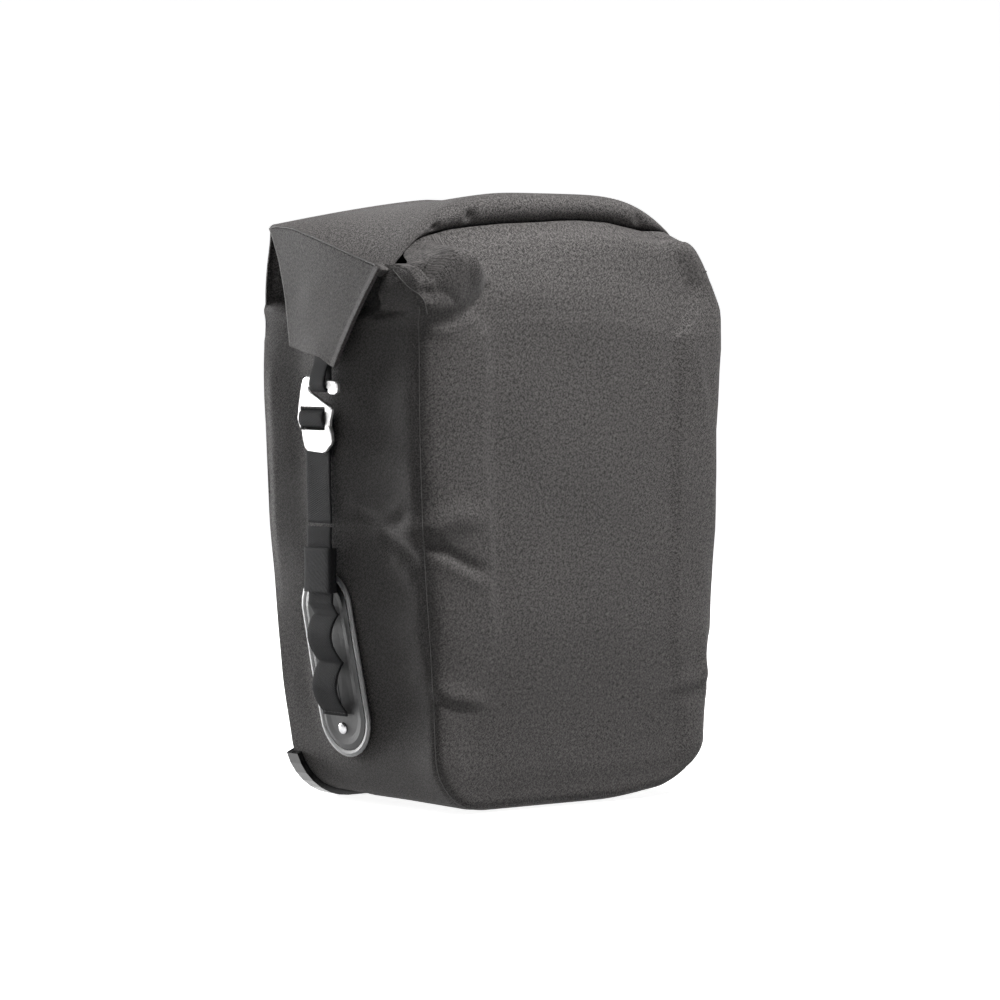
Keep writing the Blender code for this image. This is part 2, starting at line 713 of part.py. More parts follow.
def make_rack_hook(side):
    """An inverted J that grips the rail and hangs on the rack's tube."""
    grip_top = [(77.6, 302.3), (72.7, 302.3), (72.7, 294.7), (73.9, 294.7), (73.9, 298.4), (77.6, 298.4)]
    grip_low = [(77.6, 263.6), (73.9, 263.6), (73.9, 267.3), (72.7, 267.3), (72.7, 259.7), (83.5, 259.7)]
    inner = arc((87.5, 312), 4, 180, 90, 4) + arc((97.5, 312), 4, 90, 0, 4)
    tip = [(101.5, 289), (102.6, 287), (105, 286.4), (107, 288)]
    outer = arc((98, 316.5), 9, 0, 90, 5) + arc((86, 317.1), 8.4, 90, 180, 5)
    outline = mm(grip_top + grip_low + inner + tip + outer)
    middle = side * HOOK_X
    hook = flat_outline("rack_hook_" + NAMES[side], outline, HOOK_WIDTH, "yz", middle, "black_plastic")
    y, z = LATCH_PIVOT
    inner_face = side * (HOOK_X - HOOK_WIDTH / 2)
    bore = [(inner_face + side * along, y, z) for along in (-0.002, 0.0125)]
    cut_hole(hook, "pin_bore_" + NAMES[side], 0.0019, *bore)
    z = 0.2730
    cut_hole(hook, "clamp_bore_" + NAMES[side], 0.0021, (middle, 0.0765, z), (middle, 0.085, z))

    pin = (side * (LATCH_X - LATCH_WIDTH / 2 - 0.0008), y, LATCH_PIVOT[1])
    end = (inner_face + side * 0.0120, y, LATCH_PIVOT[1])
    cylinder("latch_pin_" + NAMES[side], 0.00155, pin, end, "steel", vertices=14)
    head = mm([(0, 3.0), (3.0, 3.0), (3.6, 2.4), (3.6, 0.3), (1.8, 0.3), (1.8, -5.5), (0, -5.5)])
    turned("clamp_screw_" + NAMES[side], head, (middle, 0.0835, z), (0, 1, 0), "steel", steps=16)

    sleeve = [(83.9, 296), (83.9, 311.2), (88.0, 315.6), (97.0, 315.6), (101.1, 311.2), (101.1, 296)]
    sleeve += [(98.7, 296), (98.7, 311.5), (97.2, 313), (87.8, 313), (86.3, 311.5), (86.3, 296)]
    flat_outline("tube_insert_" + NAMES[side], mm(sleeve), HOOK_WIDTH - 0.001, "yz", middle, "board_plastic")


def make_latch(side):
    """A lever beside each hook: its nose closes the mouth, its tail is lifted by the handle."""
    y, z = LATCH_PIVOT[0] / MM, LATCH_PIVOT[1] / MM
    tail = [(y - 13, z + 1.4), (y - 14.6, z + 1.0), (y - 14.6, z - 1.0), (y - 13, z - 1.4)]
    arm = [(y - 5.5, z - 1.6), (y - 3.0, z - 5), (83.9, 306), (83.9, 291), (84.8, 289.2)]
    nose = [(87, 288.4), (91.6, 288.8), (92.4, 289.8), (92.0, 291), (86.4, 295.2), (86.2, 304), (86.2, 313.6)]
    boss = arc((y, z), 4.2, -60, 110, 7)
    outline = mm(tail + arm + nose + boss)
    middle = side * LATCH_X
    name = "latch_" + NAMES[side]
    latch = flat_outline(name, outline, LATCH_WIDTH, "yz", middle, "black_plastic")
    ends = [(middle + step, *LATCH_PIVOT) for step in (-0.006, 0.006)]
    cut_hole(latch, "latch_bore_" + NAMES[side], 0.0019, *ends)


def make_pull_handle():
    """A moulded strap between the two latches; lifting it opens both."""
    window_half = 0.0028
    half_strip, thick = 0.0065, 0.0044
    rise = [(LATCH_X, 0.3130), (LATCH_X, 0.3260)]
    rise += [(x * MM, z * MM) for x, z in ((38.6, 331.5), (34, 336.5), (26, 340.3), (14, 342.6), (0, 343.4))]
    path = rise + [(-x, z) for x, z in reversed(rise[:-1])]
    outline = ribbon_outline(path, 2 * half_strip)
    handle = flat_outline("pull_handle", outline, thick, "xz", HANDLE_Y, "webbing")
    for side in (-1, 1):
        low = (side * LATCH_X - 0.0048, HANDLE_Y - 0.005, LATCH_PIVOT[1] - window_half)
        high = (side * LATCH_X + 0.0048, HANDLE_Y + 0.005, LATCH_PIVOT[1] + window_half)
        cut(handle, box("handle_window_" + NAMES[side], low, high, "steel"))


def make_lower_anchor():
    """A slider on the lower rail, with a swivelling hook that catches behind the rack's leg."""
    grip = [(72.0, 115.6), (72.0, 108.4), (73.0, 108.4), (73.0, 112.4), (76.6, 112.4), (76.6, 91.6)]
    grip += [(73.0, 91.6), (73.0, 95.6), (72.0, 95.6), (72.0, 88.4), (82.6, 88.4), (84, 90), (84, 114)]
    grip += [(82.6, 115.6)]
    slider = flat_outline("anchor_slider", mm(grip), 0.027, "yz", 0, "black_plastic")
    cut_hole(slider, "slider_bore", 0.0034, (0, 0.075, LOW_RAIL_Z), (0, 0.086, LOW_RAIL_Z))

    tongue = [(-14, 84.4), (-14, 99.6), (-11.4, 102.4), (28, 102.4), (31, 100.6), (31, 99.4), (28, 98.2)]
    tongue += [(-8.6, 98.2), (-9.2, 97.4), (-9.2, 88.9), (12.5, 88.9), (12.5, 84.4)]
    z = LOW_RAIL_Z
    hook = flat_outline("anchor_hook", mm(tongue), 0.018, "xy", z, "black_plastic")
    cut_hole(hook, "anchor_bore", 0.0034, (0, 0.080, z), (0, 0.092, z))
    cut_hole(hook, "anchor_counterbore", 0.0066, (0, 0.0865, z), (0, 0.092, z))
    profile = mm([(0, 1.9), (5.6, 1.9), (6.2, 1.3), (6.2, 0), (3.1, 0), (3.1, -9.2), (0, -9.2)])
    turned("anchor_screw", profile, (0, 0.0868, z), (0, 1, 0), "steel")


# ---------------------------------------------------------------- the bag

NAMES = {-1: "left", 1: "right"}
clear_scene()
MATERIALS = make_materials()
BAG = new_collection("pannier_bag")
CUTTERS = new_collection("cutters")

make_front_panel()
make_base_panel()
make_rear_panel()
make_roll()
make_guard()
make_rail("top_rail", RAIL_HALF, RAIL_Z / MM, 17, 77.3, RAIL_HOLES_X)
make_rail("lower_rail", LOW_RAIL_HALF, LOW_RAIL_Z / MM, 10, 76.3, LOW_HOLES_X)
make_rail_screws()
make_pull_handle()
make_lower_anchor()
for which in (-1, 1):
    make_gusset(which)
    make_flap(which)
    make_closure_loop(which)
    make_g_hook(which)
    make_strap_upper(which)
    make_strap_lower(which)
    make_keeper(which)
    make_oval(which)
    make_rivet(which)
    make_rack_hook(which)
    make_latch(which)
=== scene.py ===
"""The looks of the roll-top pannier bag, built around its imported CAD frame.

Metres, +Z up; X runs across the bag, the front faces -Y, the rack side +Y. Profiles are in millimetres
and scaled by MM. Left is -X. A "side" of -1 is left, 1 right.
"""

import math

import bmesh
import bpy
import numpy as np
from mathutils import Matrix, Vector, noise


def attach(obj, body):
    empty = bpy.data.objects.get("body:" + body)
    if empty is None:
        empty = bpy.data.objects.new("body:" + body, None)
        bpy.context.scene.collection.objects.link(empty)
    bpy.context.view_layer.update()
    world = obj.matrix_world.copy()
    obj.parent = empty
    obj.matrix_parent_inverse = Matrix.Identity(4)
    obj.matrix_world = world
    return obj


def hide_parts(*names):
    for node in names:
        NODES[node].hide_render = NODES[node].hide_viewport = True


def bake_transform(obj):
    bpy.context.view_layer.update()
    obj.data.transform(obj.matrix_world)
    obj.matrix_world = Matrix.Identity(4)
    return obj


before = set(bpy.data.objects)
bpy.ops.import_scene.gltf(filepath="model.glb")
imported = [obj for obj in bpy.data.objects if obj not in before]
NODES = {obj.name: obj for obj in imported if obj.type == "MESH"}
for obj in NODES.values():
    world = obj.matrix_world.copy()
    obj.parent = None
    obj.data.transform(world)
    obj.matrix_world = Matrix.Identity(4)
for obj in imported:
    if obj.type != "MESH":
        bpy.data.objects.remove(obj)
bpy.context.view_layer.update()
MM = 0.001
NAMES = {-1: "left", 1: "right"}

# ------------------------------------------------------------------ the bag's form, as in the CAD

TOP_HALF, BASE_HALF, FULL_WIDTH_Z = 123.5, 101.5, 270.0
CORNER_R, SEAM_BASE_Z = 32.0, 4.0
ARC_TOP_Z = SEAM_BASE_Z + CORNER_R  # where the rounded bottom corners end
REAR_SEAM_Y, BASE_EDGE_Y = 68.7, -71.5


def half_width(z):
    rise = np.clip(np.asarray(z, float) / FULL_WIDTH_Z, 0, 1)
    return BASE_HALF + (TOP_HALF - BASE_HALF) * (1 - (1 - rise) ** 2)


def half_span(z):
    z = np.asarray(z, float)
    below = np.clip(SEAM_BASE_Z + CORNER_R - z, 0, CORNER_R)
    return half_width(z) - CORNER_R + np.sqrt(np.maximum(CORNER_R**2 - below**2, 0))


def rear_top_z(x):
    return 370 - 18 * np.minimum(np.abs(x) / 123.0, 1) ** 1.25


def rear_fullness(z):
    """How much wider than the taper the bag stands along its rear seams."""
    whole = 1.5 * smooth((z - 30) / 50) * smooth((352 - z) / 25)
    return whole + 2.3 * smooth((z - 110) / 80) * smooth((345 - z) / 35)


def roll_top_z(x):
    x = np.asarray(x, float)
    power = np.where(x < 0, 3.0, 5.0)
    return 373 - 45 * np.minimum(np.abs(x) / 118.0, 1.06) ** power


def smooth(t):
    t = np.clip(t, 0, 1)
    return t * t * (3 - 2 * t)


# where the front's upper edge runs, under the roll: (x, z)
LIP = [
    (-124, 325.5), (-116, 331), (-111, 335), (-102, 340.4), (-93, 344.4), (-79, 347.8), (-72, 349.4),
    (-59, 351), (-33, 353.4), (-3, 354.8), (14, 356), (31, 356.5), (53, 355.6), (75, 352), (96, 348),
    (107, 345),
]  # fmt: skip


def lip_z(x):
    return np.interp(x, *zip(*LIP))


# ------------------------------------------------------------------ building blocks


def link(obj):
    bpy.context.scene.collection.objects.link(obj)
    return obj


def mesh_from(name, vertices, faces, uvs=None, material=None, smooth_shade=True):
    mesh = bpy.data.meshes.new(name)
    mesh.from_pydata([tuple(float(c) for c in v) for v in vertices], [], faces)
    if uvs is not None:
        layer = mesh.uv_layers.new(name="weave")
        loops = np.empty(len(mesh.loops), np.int32)
        mesh.loops.foreach_get("vertex_index", loops)
        layer.data.foreach_set("uv", np.asarray(uvs, np.float32)[loops].ravel())
    mesh.polygons.foreach_set("use_smooth", [smooth_shade] * len(mesh.polygons))
    if material:
        mesh.materials.append(material)
    mesh.update()
    return link(bpy.data.objects.new(name, mesh))


def grid_faces(rows, columns, ring=False):
    faces = []
    for r in range(rows - 1):
        for c in range(columns if ring else columns - 1):
            n = (c + 1) % columns
            faces.append((r * columns + c, r * columns + n, (r + 1) * columns + n, (r + 1) * columns + c))
    return faces


def flip_if_inward(obj, outward):
    """Turns the faces round if the mean of normal . outward(centre) is negative."""
    total = sum(p.normal.dot(Vector(outward(p.center))) * p.area for p in obj.data.polygons)
    if total < 0:
        obj.data.flip_normals()
    return obj


def outwards(obj):
    form = bmesh.new()
    form.from_mesh(obj.data)
    bmesh.ops.recalc_face_normals(form, faces=form.faces)
    form.to_mesh(obj.data)
    form.free()
    return obj


def add(obj, kind, **settings):
    modifier = obj.modifiers.new(kind.lower(), kind)
    for key, value in settings.items():
        setattr(modifier, key, value)
    return modifier


def apply_all(obj):
    graph = bpy.context.evaluated_depsgraph_get()
    mesh = bpy.data.meshes.new_from_object(obj.evaluated_get(graph))
    obj.modifiers.clear()
    obj.data = mesh
    return obj


def catmull(points, per_span, closed=False):
    """A smooth line through points, per_span steps between neighbours."""
    points = np.asarray(points, float)
    count = len(points)
    out = []
    spans = count if closed else count - 1
    for i in range(spans):
        if closed:
            p0, p1, p2, p3 = (points[(i + k) % count] for k in (-1, 0, 1, 2))
        else:
            p1, p2 = points[i], points[i + 1]
            p0 = points[i - 1] if i else 2 * p1 - p2
            p3 = points[i + 2] if i + 2 < count else 2 * p2 - p1
        for k in range(per_span):
            t = k / per_span
            square = (2 * p0 - 5 * p1 + 4 * p2 - p3) * t**2
            cube = (3 * p1 - p0 - 3 * p2 + p3) * t**3
            out.append(0.5 * (2 * p1 + (p2 - p0) * t + square + cube))
    if not closed:
        out.append(points[-1])
    return np.array(out)


def run_of(points):
    """How far along a line each of its points lies."""
    return np.concatenate([[0], np.cumsum(np.linalg.norm(np.diff(points, axis=0), axis=1))])


def read(mesh, what):
    """A value of three numbers from every vertex, such as co or normal."""
    values = np.empty(len(mesh.vertices) * 3)
    mesh.vertices.foreach_get(what, values)
    return values.reshape(-1, 3)


def tube(name, path, radius, material, sides=6):
    """A round thread or weld bead along path, in millimetres, with its ends closed."""
    path = np.asarray(path, float)
    tangents = np.gradient(path, axis=0)
    tangents /= np.linalg.norm(tangents, axis=1)[:, None]
    normal = np.array([0.3, 0.5, 0.81])
    rows = []
    for p, t in zip(path, tangents):
        normal = normal - t * (normal @ t)
        normal /= np.linalg.norm(normal)
        other = np.cross(t, normal)
        turn = np.arange(sides) * 2 * math.pi / sides
        rows.append(p + radius * (np.cos(turn)[:, None] * normal + np.sin(turn)[:, None] * other))
    vertices = np.concatenate(rows) * MM
    faces = grid_faces(len(rows), sides, ring=True)
    faces.append(tuple(reversed(range(sides))))
    last = (len(rows) - 1) * sides
    faces.append(tuple(range(last, last + sides)))
    return outwards(mesh_from(name, vertices, faces, None, material))


# ------------------------------------------------------------------ materials


class Nodes:
    """Short calls for a material's node tree."""

    def __init__(self, name):
        self.material = bpy.data.materials.new(name)
        self.material.use_nodes = True
        self.tree = self.material.node_tree
        self.shader = self.tree.nodes["Principled BSDF"]

    def node(self, kind, inputs=None, **settings):
        made = self.tree.nodes.new(kind)
        for key, value in settings.items():
            setattr(made, key, value)
        for key, value in (inputs or {}).items():
            self.feed(made.inputs[key], value)
        return made

    def feed(self, socket, value):
        if isinstance(value, bpy.types.NodeSocket):
            self.tree.links.new(value, socket)
        else:
            socket.default_value = value

    def math(self, operation, a, b=0.0, c=0.0):
        made = self.node("ShaderNodeMath", {0: a, 1: b, 2: c}, operation=operation)
        return made.outputs[0]

    def place(self):
        return self.node("ShaderNodeTexCoord").outputs["Object"]

    def weave(self):
        return self.node("ShaderNodeUVMap", uv_map="weave").outputs[0]

    def times(self, a, b):
        return self.math("MULTIPLY", a, b)

    def plus(self, a, b):
        return self.math("ADD", a, b)

    def wave(self, phase):
        return self.math("ABSOLUTE", self.math("SINE", phase))

    def choose(self, share, a, b):
        """a where share is 1, b where it is 0."""
        return self.plus(self.times(a, share), self.times(b, self.math("SUBTRACT", 1.0, share)))

    def mix(self, factor, a, b):
        made = self.node("ShaderNodeMix", data_type="RGBA")
        self.feed(made.inputs["Factor"], factor)
        self.feed(made.inputs["A"], a)
        self.feed(made.inputs["B"], b)
        return made.outputs["Result"]

    def noise(self, vector, scale, detail=2.0, roughness=0.5):
        made = self.node("ShaderNodeTexNoise", {"Scale": scale, "Detail": detail, "Roughness": roughness})
        self.feed(made.inputs["Vector"], vector)
        return made.outputs[0]

    def ramp(self, value, low, high, to_low=0.0, to_high=1.0):
        made = self.node("ShaderNodeMapRange", {"Value": value, "From Min": low, "From Max": high})
        made.inputs["To Min"].default_value = to_low
        made.inputs["To Max"].default_value = to_high
        return made.outputs["Result"]

    def bump(self, height, distance, strength=1.0, normal=None):
        made = self.node("ShaderNodeBump", {"Height": height, "Distance": distance, "Strength": strength})
        if normal is not None:
            self.feed(made.inputs["Normal"], normal)
        return made.outputs["Normal"]

    def set(self, **values):
        names = {"base": "Base Color", "rough": "Roughness", "metal": "Metallic", "normal": "Normal",
                 "sheen": "Sheen Weight", "sheen_rough": "Sheen Roughness", "specular": "Specular IOR Level",
                 "coat": "Coat Weight", "coat_rough": "Coat Roughness"}  # fmt: skip
        for key, value in values.items():
            self.feed(self.shader.inputs[names[key]], value)
        return self.material


def rgb(r, g, b):
    return (r, g, b, 1.0)


TWILL = math.radians(-32)  # the weave's turn on the bag


def fabric(name, dark, light, pitch=0.00072, rough=0.78, sheen=0.08):
    """A coated plain weave: yarns over and under, each a little lighter or darker along its length, with
    painted shade where the yarns dip under and painted highlight on their crowns.
    """
    n = Nodes(name)
    uv = n.weave()
    turned = n.node("ShaderNodeMapping", {"Vector": uv, "Rotation": (0, 0, TWILL), "Scale": (1 / pitch,) * 3})
    xyz = n.node("ShaderNodeSeparateXYZ", {0: turned.outputs[0]})
    s, t = xyz.outputs[0], xyz.outputs[1]
    warp = n.wave(n.times(s, math.pi))
    weft = n.wave(n.times(t, math.pi))
    cell = n.math("MODULO", n.math("ABSOLUTE", n.plus(n.math("FLOOR", s), n.math("FLOOR", t))), 2.0)
    over = n.math("GREATER_THAN", cell, 0.5)
    height = n.choose(over, warp, weft)
    along_warp = n.node("ShaderNodeCombineXYZ", {0: n.times(s, 0.9), 1: n.times(t, 0.3)})
    along_weft = n.node("ShaderNodeCombineXYZ", {0: n.times(s, 0.3), 1: n.times(t, 0.9)})
    tone_warp = n.noise(along_warp.outputs[0], 1.0, 1.0)
    tone_weft = n.noise(along_weft.outputs[0], 1.0, 1.0)
    tone = n.choose(over, tone_warp, tone_weft)
    coords = n.place()
    broad = n.noise(coords, 14.0, 3.0)
    grain = n.noise(coords, 1100.0, 1.0)
    shade = n.plus(n.ramp(tone, 0.28, 0.72, -0.3, 1.12), n.ramp(broad, 0.3, 0.7, -0.05, 0.07))
    shade = n.plus(shade, n.ramp(grain, 0.3, 0.7, -0.16, 0.16))
    # painted shade and highlight: the colour darkens in the weave's dips and lightens on the yarn crowns
    shade = n.times(shade, n.ramp(height, 0.0, 1.0, 0.72, 1.12))
    colour = n.mix(n.math("MAXIMUM", n.math("MINIMUM", shade, 1.0), 0.0), rgb(*dark), rgb(*light))
    puckers = n.bump(n.noise(coords, 120.0, 3.0, 0.6), 0.0006, 0.35)
    normal = n.bump(height, 0.00012, 0.55, puckers)
    n.set(base=colour, rough=n.ramp(broad, 0.3, 0.7, rough - 0.05, rough + 0.05), normal=normal)
    n.set(sheen=sheen, sheen_rough=0.45, specular=0.35)
    return n.material


def webbing(name, dark=(0.004, 0.004, 0.0044), light=(0.020, 0.020, 0.0215), pitch=0.0013):
    """Ribbed webbing: fine slanting ribs crossed by yarns that run its length, with painted shade in the
    grooves between ribs and a painted highlight on their crowns.
    """
    n = Nodes(name)
    uv = n.weave()
    xyz = n.node("ShaderNodeSeparateXYZ", {0: uv})
    across, along = xyz.outputs[0], xyz.outputs[1]
    slant = n.plus(n.times(along, 1 / pitch), n.times(across, 0.42 / pitch))
    rib = n.wave(n.times(slant, math.pi))
    yarn = n.wave(n.times(across, math.pi / 0.0007))
    height = n.plus(n.times(rib, 0.75), n.times(yarn, 0.25))
    coords = n.place()
    grain = n.noise(coords, 900.0, 2.0)
    # painted shade: the colour is darkest in the grooves and lightest on the rib crowns
    shade = n.times(n.ramp(height, 0.1, 1.0, 0.15, 0.8), n.ramp(grain, 0.3, 0.7, 0.6, 1.25))
    colour = n.mix(shade, rgb(*dark), rgb(*light))
    normal = n.bump(height, 0.00022, 0.8)
    n.set(base=colour, rough=0.72, normal=normal, sheen=0.0, sheen_rough=0.4, specular=0.12)
    return n.material


def plastic(name, base, rough, texture=0.0, coat=0.0, fleck=0.012):
    """Moulded plastic: a faint moulded grain, small scuffs and uneven gloss."""
    n = Nodes(name)
    coords = n.place()
    scuff = n.noise(coords, 90.0, 6.0, 0.7)
    cloud = n.noise(coords, 22.0, 2.0)
    fine = n.noise(coords, 1500.0, 2.0)
    lighter = tuple(min(c + fleck, 1) for c in base)
    colour = n.mix(n.ramp(scuff, 0.45, 0.75), rgb(*base), rgb(*lighter))
    worn = n.ramp(scuff, 0.4, 0.75, rough - 0.04, rough + 0.10)
    gloss = n.plus(worn, n.ramp(cloud, 0.3, 0.7, -0.03, 0.03))
    n.set(base=colour, rough=gloss, coat=coat, coat_rough=0.12, specular=0.5)
    n.set(normal=n.bump(fine, 0.00008, 0.25 + texture, n.bump(cloud, 0.0006, 0.15)))
    return n.material


def metal(name, base, rough, streak=0.0):
    """Tumbled or plated metal: soft waviness, fine scratches and a little variation of tone."""
    n = Nodes(name)
    coords = n.place()
    mapped = n.node("ShaderNodeMapping", {"Vector": coords, "Scale": (260.0, 900.0, 140.0)}).outputs[0]
    scratch = n.noise(mapped, 1.0, 4.0, 0.6)
    cloud = n.noise(coords, 60.0, 2.0)
    darker = tuple(c * 0.88 for c in base)
    colour = n.mix(n.ramp(cloud, 0.3, 0.75), rgb(*base), rgb(*darker))
    n.set(base=colour, metal=1.0, rough=n.ramp(scratch, 0.3, 0.7, rough - 0.05, rough + 0.10))
    n.set(normal=n.bump(scratch, 0.00004, 0.15 + streak, n.bump(cloud, 0.0008, 0.10)))
    return n.material


def reflective(name):
    """Grey retroreflective print: tiny beads over a light base."""
    n = Nodes(name)
    coords = n.place()
    beads = n.node("ShaderNodeTexVoronoi", {"Scale": 2600.0, "Vector": coords}).outputs[0]
    cloud = n.noise(coords, 70.0, 4.0, 0.6)
    colour = n.mix(n.ramp(cloud, 0.35, 0.75), rgb(0.92, 0.92, 0.92), rgb(0.80, 0.80, 0.805))
    n.set(base=colour, rough=0.42, specular=0.6, normal=n.bump(beads, 0.00005, 0.4))
    return n.material


FABRIC = fabric("coated_fabric", (0.024, 0.022, 0.0215), (0.215, 0.202, 0.197))
WELD = plastic("weld_line", (0.070, 0.066, 0.064), 0.6, 0.2, 0.0, 0.04)
WEBBING = webbing("ribbed_webbing")
WEBBING_EDGE = webbing("webbing_cut_end", (0.014, 0.014, 0.015), (0.05, 0.05, 0.052), 0.0006)
MOULDED = plastic("moulded_oval", (0.017, 0.017, 0.018), 0.40, 0.15, 0.0)
GUARD = plastic("edge_guard_gloss", (0.011, 0.011, 0.012), 0.24, 0.0, 0.35)
RACK = plastic("rack_hardware", (0.020, 0.020, 0.021), 0.42, 0.5)
INSERT = plastic("insert_plastic", (0.060, 0.060, 0.063), 0.5, 0.3)
BOARD = plastic("board_sheet", (0.045, 0.045, 0.047), 0.55, 0.3)
ALUMINIUM = metal("polished_aluminium", (0.80, 0.795, 0.79), 0.30)
STEEL = metal("plated_steel", (0.50, 0.50, 0.51), 0.30, 0.1)
REFLECTIVE = reflective("reflective_print")
THREAD = plastic("thread", (0.03, 0.03, 0.031), 0.7)

# ------------------------------------------------------------------ the bag's fabric shell

RISE_ROWS, TOP_ROWS, ARC_ROWS, BASE_COLUMNS = 120, 40, 24, 46
SIDE_COLUMNS, FILLET_COLUMNS = 62, 30
LEAN_Z = 285.0


def fillet_shares():
    """The rounded edge, evenly spaced: shares of its reach rearwards and inwards, and its angle."""
    turn = np.linspace(0, math.pi / 2, 400)
    away, over = (1 - np.sin(turn)) ** 1.5, (1 - np.cos(turn)) ** 1.25
    run = np.concatenate([[0], np.cumsum(np.hypot(24 * np.diff(away), 50 * np.diff(over)))])
    even = np.linspace(0, run[-1], FILLET_COLUMNS + 1)
    return np.interp(even, run, away), np.interp(even, run, over), np.interp(even, run, turn)


AWAY, OVER, FILLET_TURN = fillet_shares()
SEAM_COLUMN = SIDE_COLUMNS + int(np.argmin(abs(FILLET_TURN - math.radians(30))))


def path_at(knots, share):
    """Points on a smooth line through knots, at shares 0 to 1 of its length."""
    line = catmull(knots, 12)
    run = run_of(line)
    return np.stack([np.interp(np.asarray(share) * run[-1], run, line[:, k]) for k in range(3)], 1)


def corner_line(side):
    """From the base's middle round the corner and up: corner point, inward direction, and how far
    the rounding reaches rearwards and inwards."""
    foot = half_span(SEAM_BASE_Z)
    points, inward, reach = [], [], []
    back_full, in_full = (24.0, 50.0) if side < 0 else (12.0, 36.0)
    for k in range(BASE_COLUMNS):
        share = k / BASE_COLUMNS
        points.append((foot * share, BASE_EDGE_Y, 2.0))
        inward.append((0, 0, 1))
        reach.append((10.0, 10.0))
    for k in range(ARC_ROWS):
        turn = k / ARC_ROWS * math.pi / 2
        z = SEAM_BASE_Z + CORNER_R - CORNER_R * math.cos(turn)
        share = float(smooth(k / ARC_ROWS))
        points.append((float(half_span(z)), BASE_EDGE_Y - 2.5 * share, z - 2.0 * (1 - share)))
        inward.append((-math.sin(turn), 0, math.cos(turn)))
        reach.append((10.0 + 2.0 * share, 10.0 + 9.0 * share))
    for k in range(RISE_ROWS):
        z = ARC_TOP_Z + (LEAN_Z - ARC_TOP_Z) * k / RISE_ROWS
        share = float(smooth((z - ARC_TOP_Z) / 80))
        points.append((float(half_width(z)) + 0.4 * share, -74.0 - 3.5 * share, z))
        inward.append((-1, 0, 0))
        reach.append((12.0 + (back_full - 12) * share, 19.0 + (in_full - 19) * share))
    share = np.arange(TOP_ROWS + 1) / TOP_ROWS
    if side < 0:
        knots = [(123.9, -77.5, 285), (123.7, -75, 301), (122.5, -65, 314)]
        knots += [(121, -54, 322.5), (119.6, -47, 328.2)]
        bend, back, into = 0.5, (back_full, 10, 3), (in_full, 14, 3)
    else:
        knots = [(123.9, -77.5, 285), (123.6, -74.5, 299), (120.5, -71.5, 311)]
        knots += [(107, -68, 338.5), (102, -58, 345), (99, -48, 350)]
        bend, back, into = 0.4, (back_full, 3, 2), (in_full, 5, 2)
    spread = np.stack([np.interp(share, [0, bend, 1], fall) for fall in (back, into)], 1)
    top = path_at(knots, share)
    points += [tuple(p) for p in top]
    inward += [(-1, 0, 0)] * len(top)
    reach += [tuple(p) for p in spread]
    points, inward = np.array(points, float), np.array(inward, float)
    points[:, 0] *= side
    inward[:, 0] *= side
    return points, inward, np.array(reach, float)


def rear_line(side):
    """The rear seam beside each point of corner_line."""
    foot = half_span(SEAM_BASE_Z)
    points = [(foot * k / BASE_COLUMNS, REAR_SEAM_Y, SEAM_BASE_Z) for k in range(BASE_COLUMNS)]
    for k in range(ARC_ROWS):
        z = SEAM_BASE_Z + CORNER_R - CORNER_R * math.cos(k / ARC_ROWS * math.pi / 2)
        points.append((float(half_span(z)), REAR_SEAM_Y, z))
    for k in range(RISE_ROWS):
        z = ARC_TOP_Z + (LEAN_Z - ARC_TOP_Z) * k / RISE_ROWS
        points.append((float(half_width(z)), REAR_SEAM_Y, z))
    for k in range(TOP_ROWS + 1):
        z = LEAN_Z + (349 - LEAN_Z) * k / TOP_ROWS
        points.append((123.0, REAR_SEAM_Y, z))
    points = np.array(points, float)
    points[:, 0] *= side
    return points


def make_shell_grid():
    """Strip from the rear seam over the side and the rounded edge, and the front patch inside it."""
    strips = []
    for side in (-1, 1):
        corner, inward, reach = corner_line(side)
        rear = rear_line(side)
        start = corner + np.array([0, 1.0, 0]) * reach[:, :1]
        end = corner + inward * reach[:, 1:]
        share = np.arange(SIDE_COLUMNS)[None, :, None] / SIDE_COLUMNS
        flat = rear[:, None, :] + (start - rear)[:, None, :] * share
        fillet = corner[:, None] + (start - corner)[:, None] * AWAY[None, :, None]
        fillet = fillet + (end - corner)[:, None] * OVER[None, :, None]
        strips.append(np.concatenate([flat, fillet], 1))
    left, right = strips
    strip = np.concatenate([left[::-1], right[1:]], 0)
    middle = len(left) - 1
    half_arc = BASE_COLUMNS + ARC_ROWS // 2
    low, high = middle - half_arc, middle + half_arc
    edge = strip[:, -1]
    rise_l, rise_r = edge[: low + 1][::-1], edge[high:]
    base = edge[low : high + 1]
    rows, columns = len(rise_l), len(base)
    across = np.linspace(0, 1, columns)
    a, b = rise_l[-1], rise_r[-1]
    top_x = a[0] + (b[0] - a[0]) * across
    lip = np.stack([top_x, np.full(columns, -43.5), lip_z(top_x)], 1)
    fade = np.minimum(across, 1 - across)[:, None] / 0.08
    ends = np.where(across[:, None] < 0.5, a - lip[0], b - lip[-1])
    top = lip + ends * (1 - smooth(fade))
    u, v = across[None, :, None], np.linspace(0, 1, rows)[:, None, None]
    patch = (1 - v) * base[None] + v * top[None] + (1 - u) * rise_l[:, None] + u * rise_r[:, None]
    patch -= (1 - u) * (1 - v) * base[0] + u * (1 - v) * base[-1] + (1 - u) * v * top[0] + u * v * top[-1]
    return strip, patch, low, high


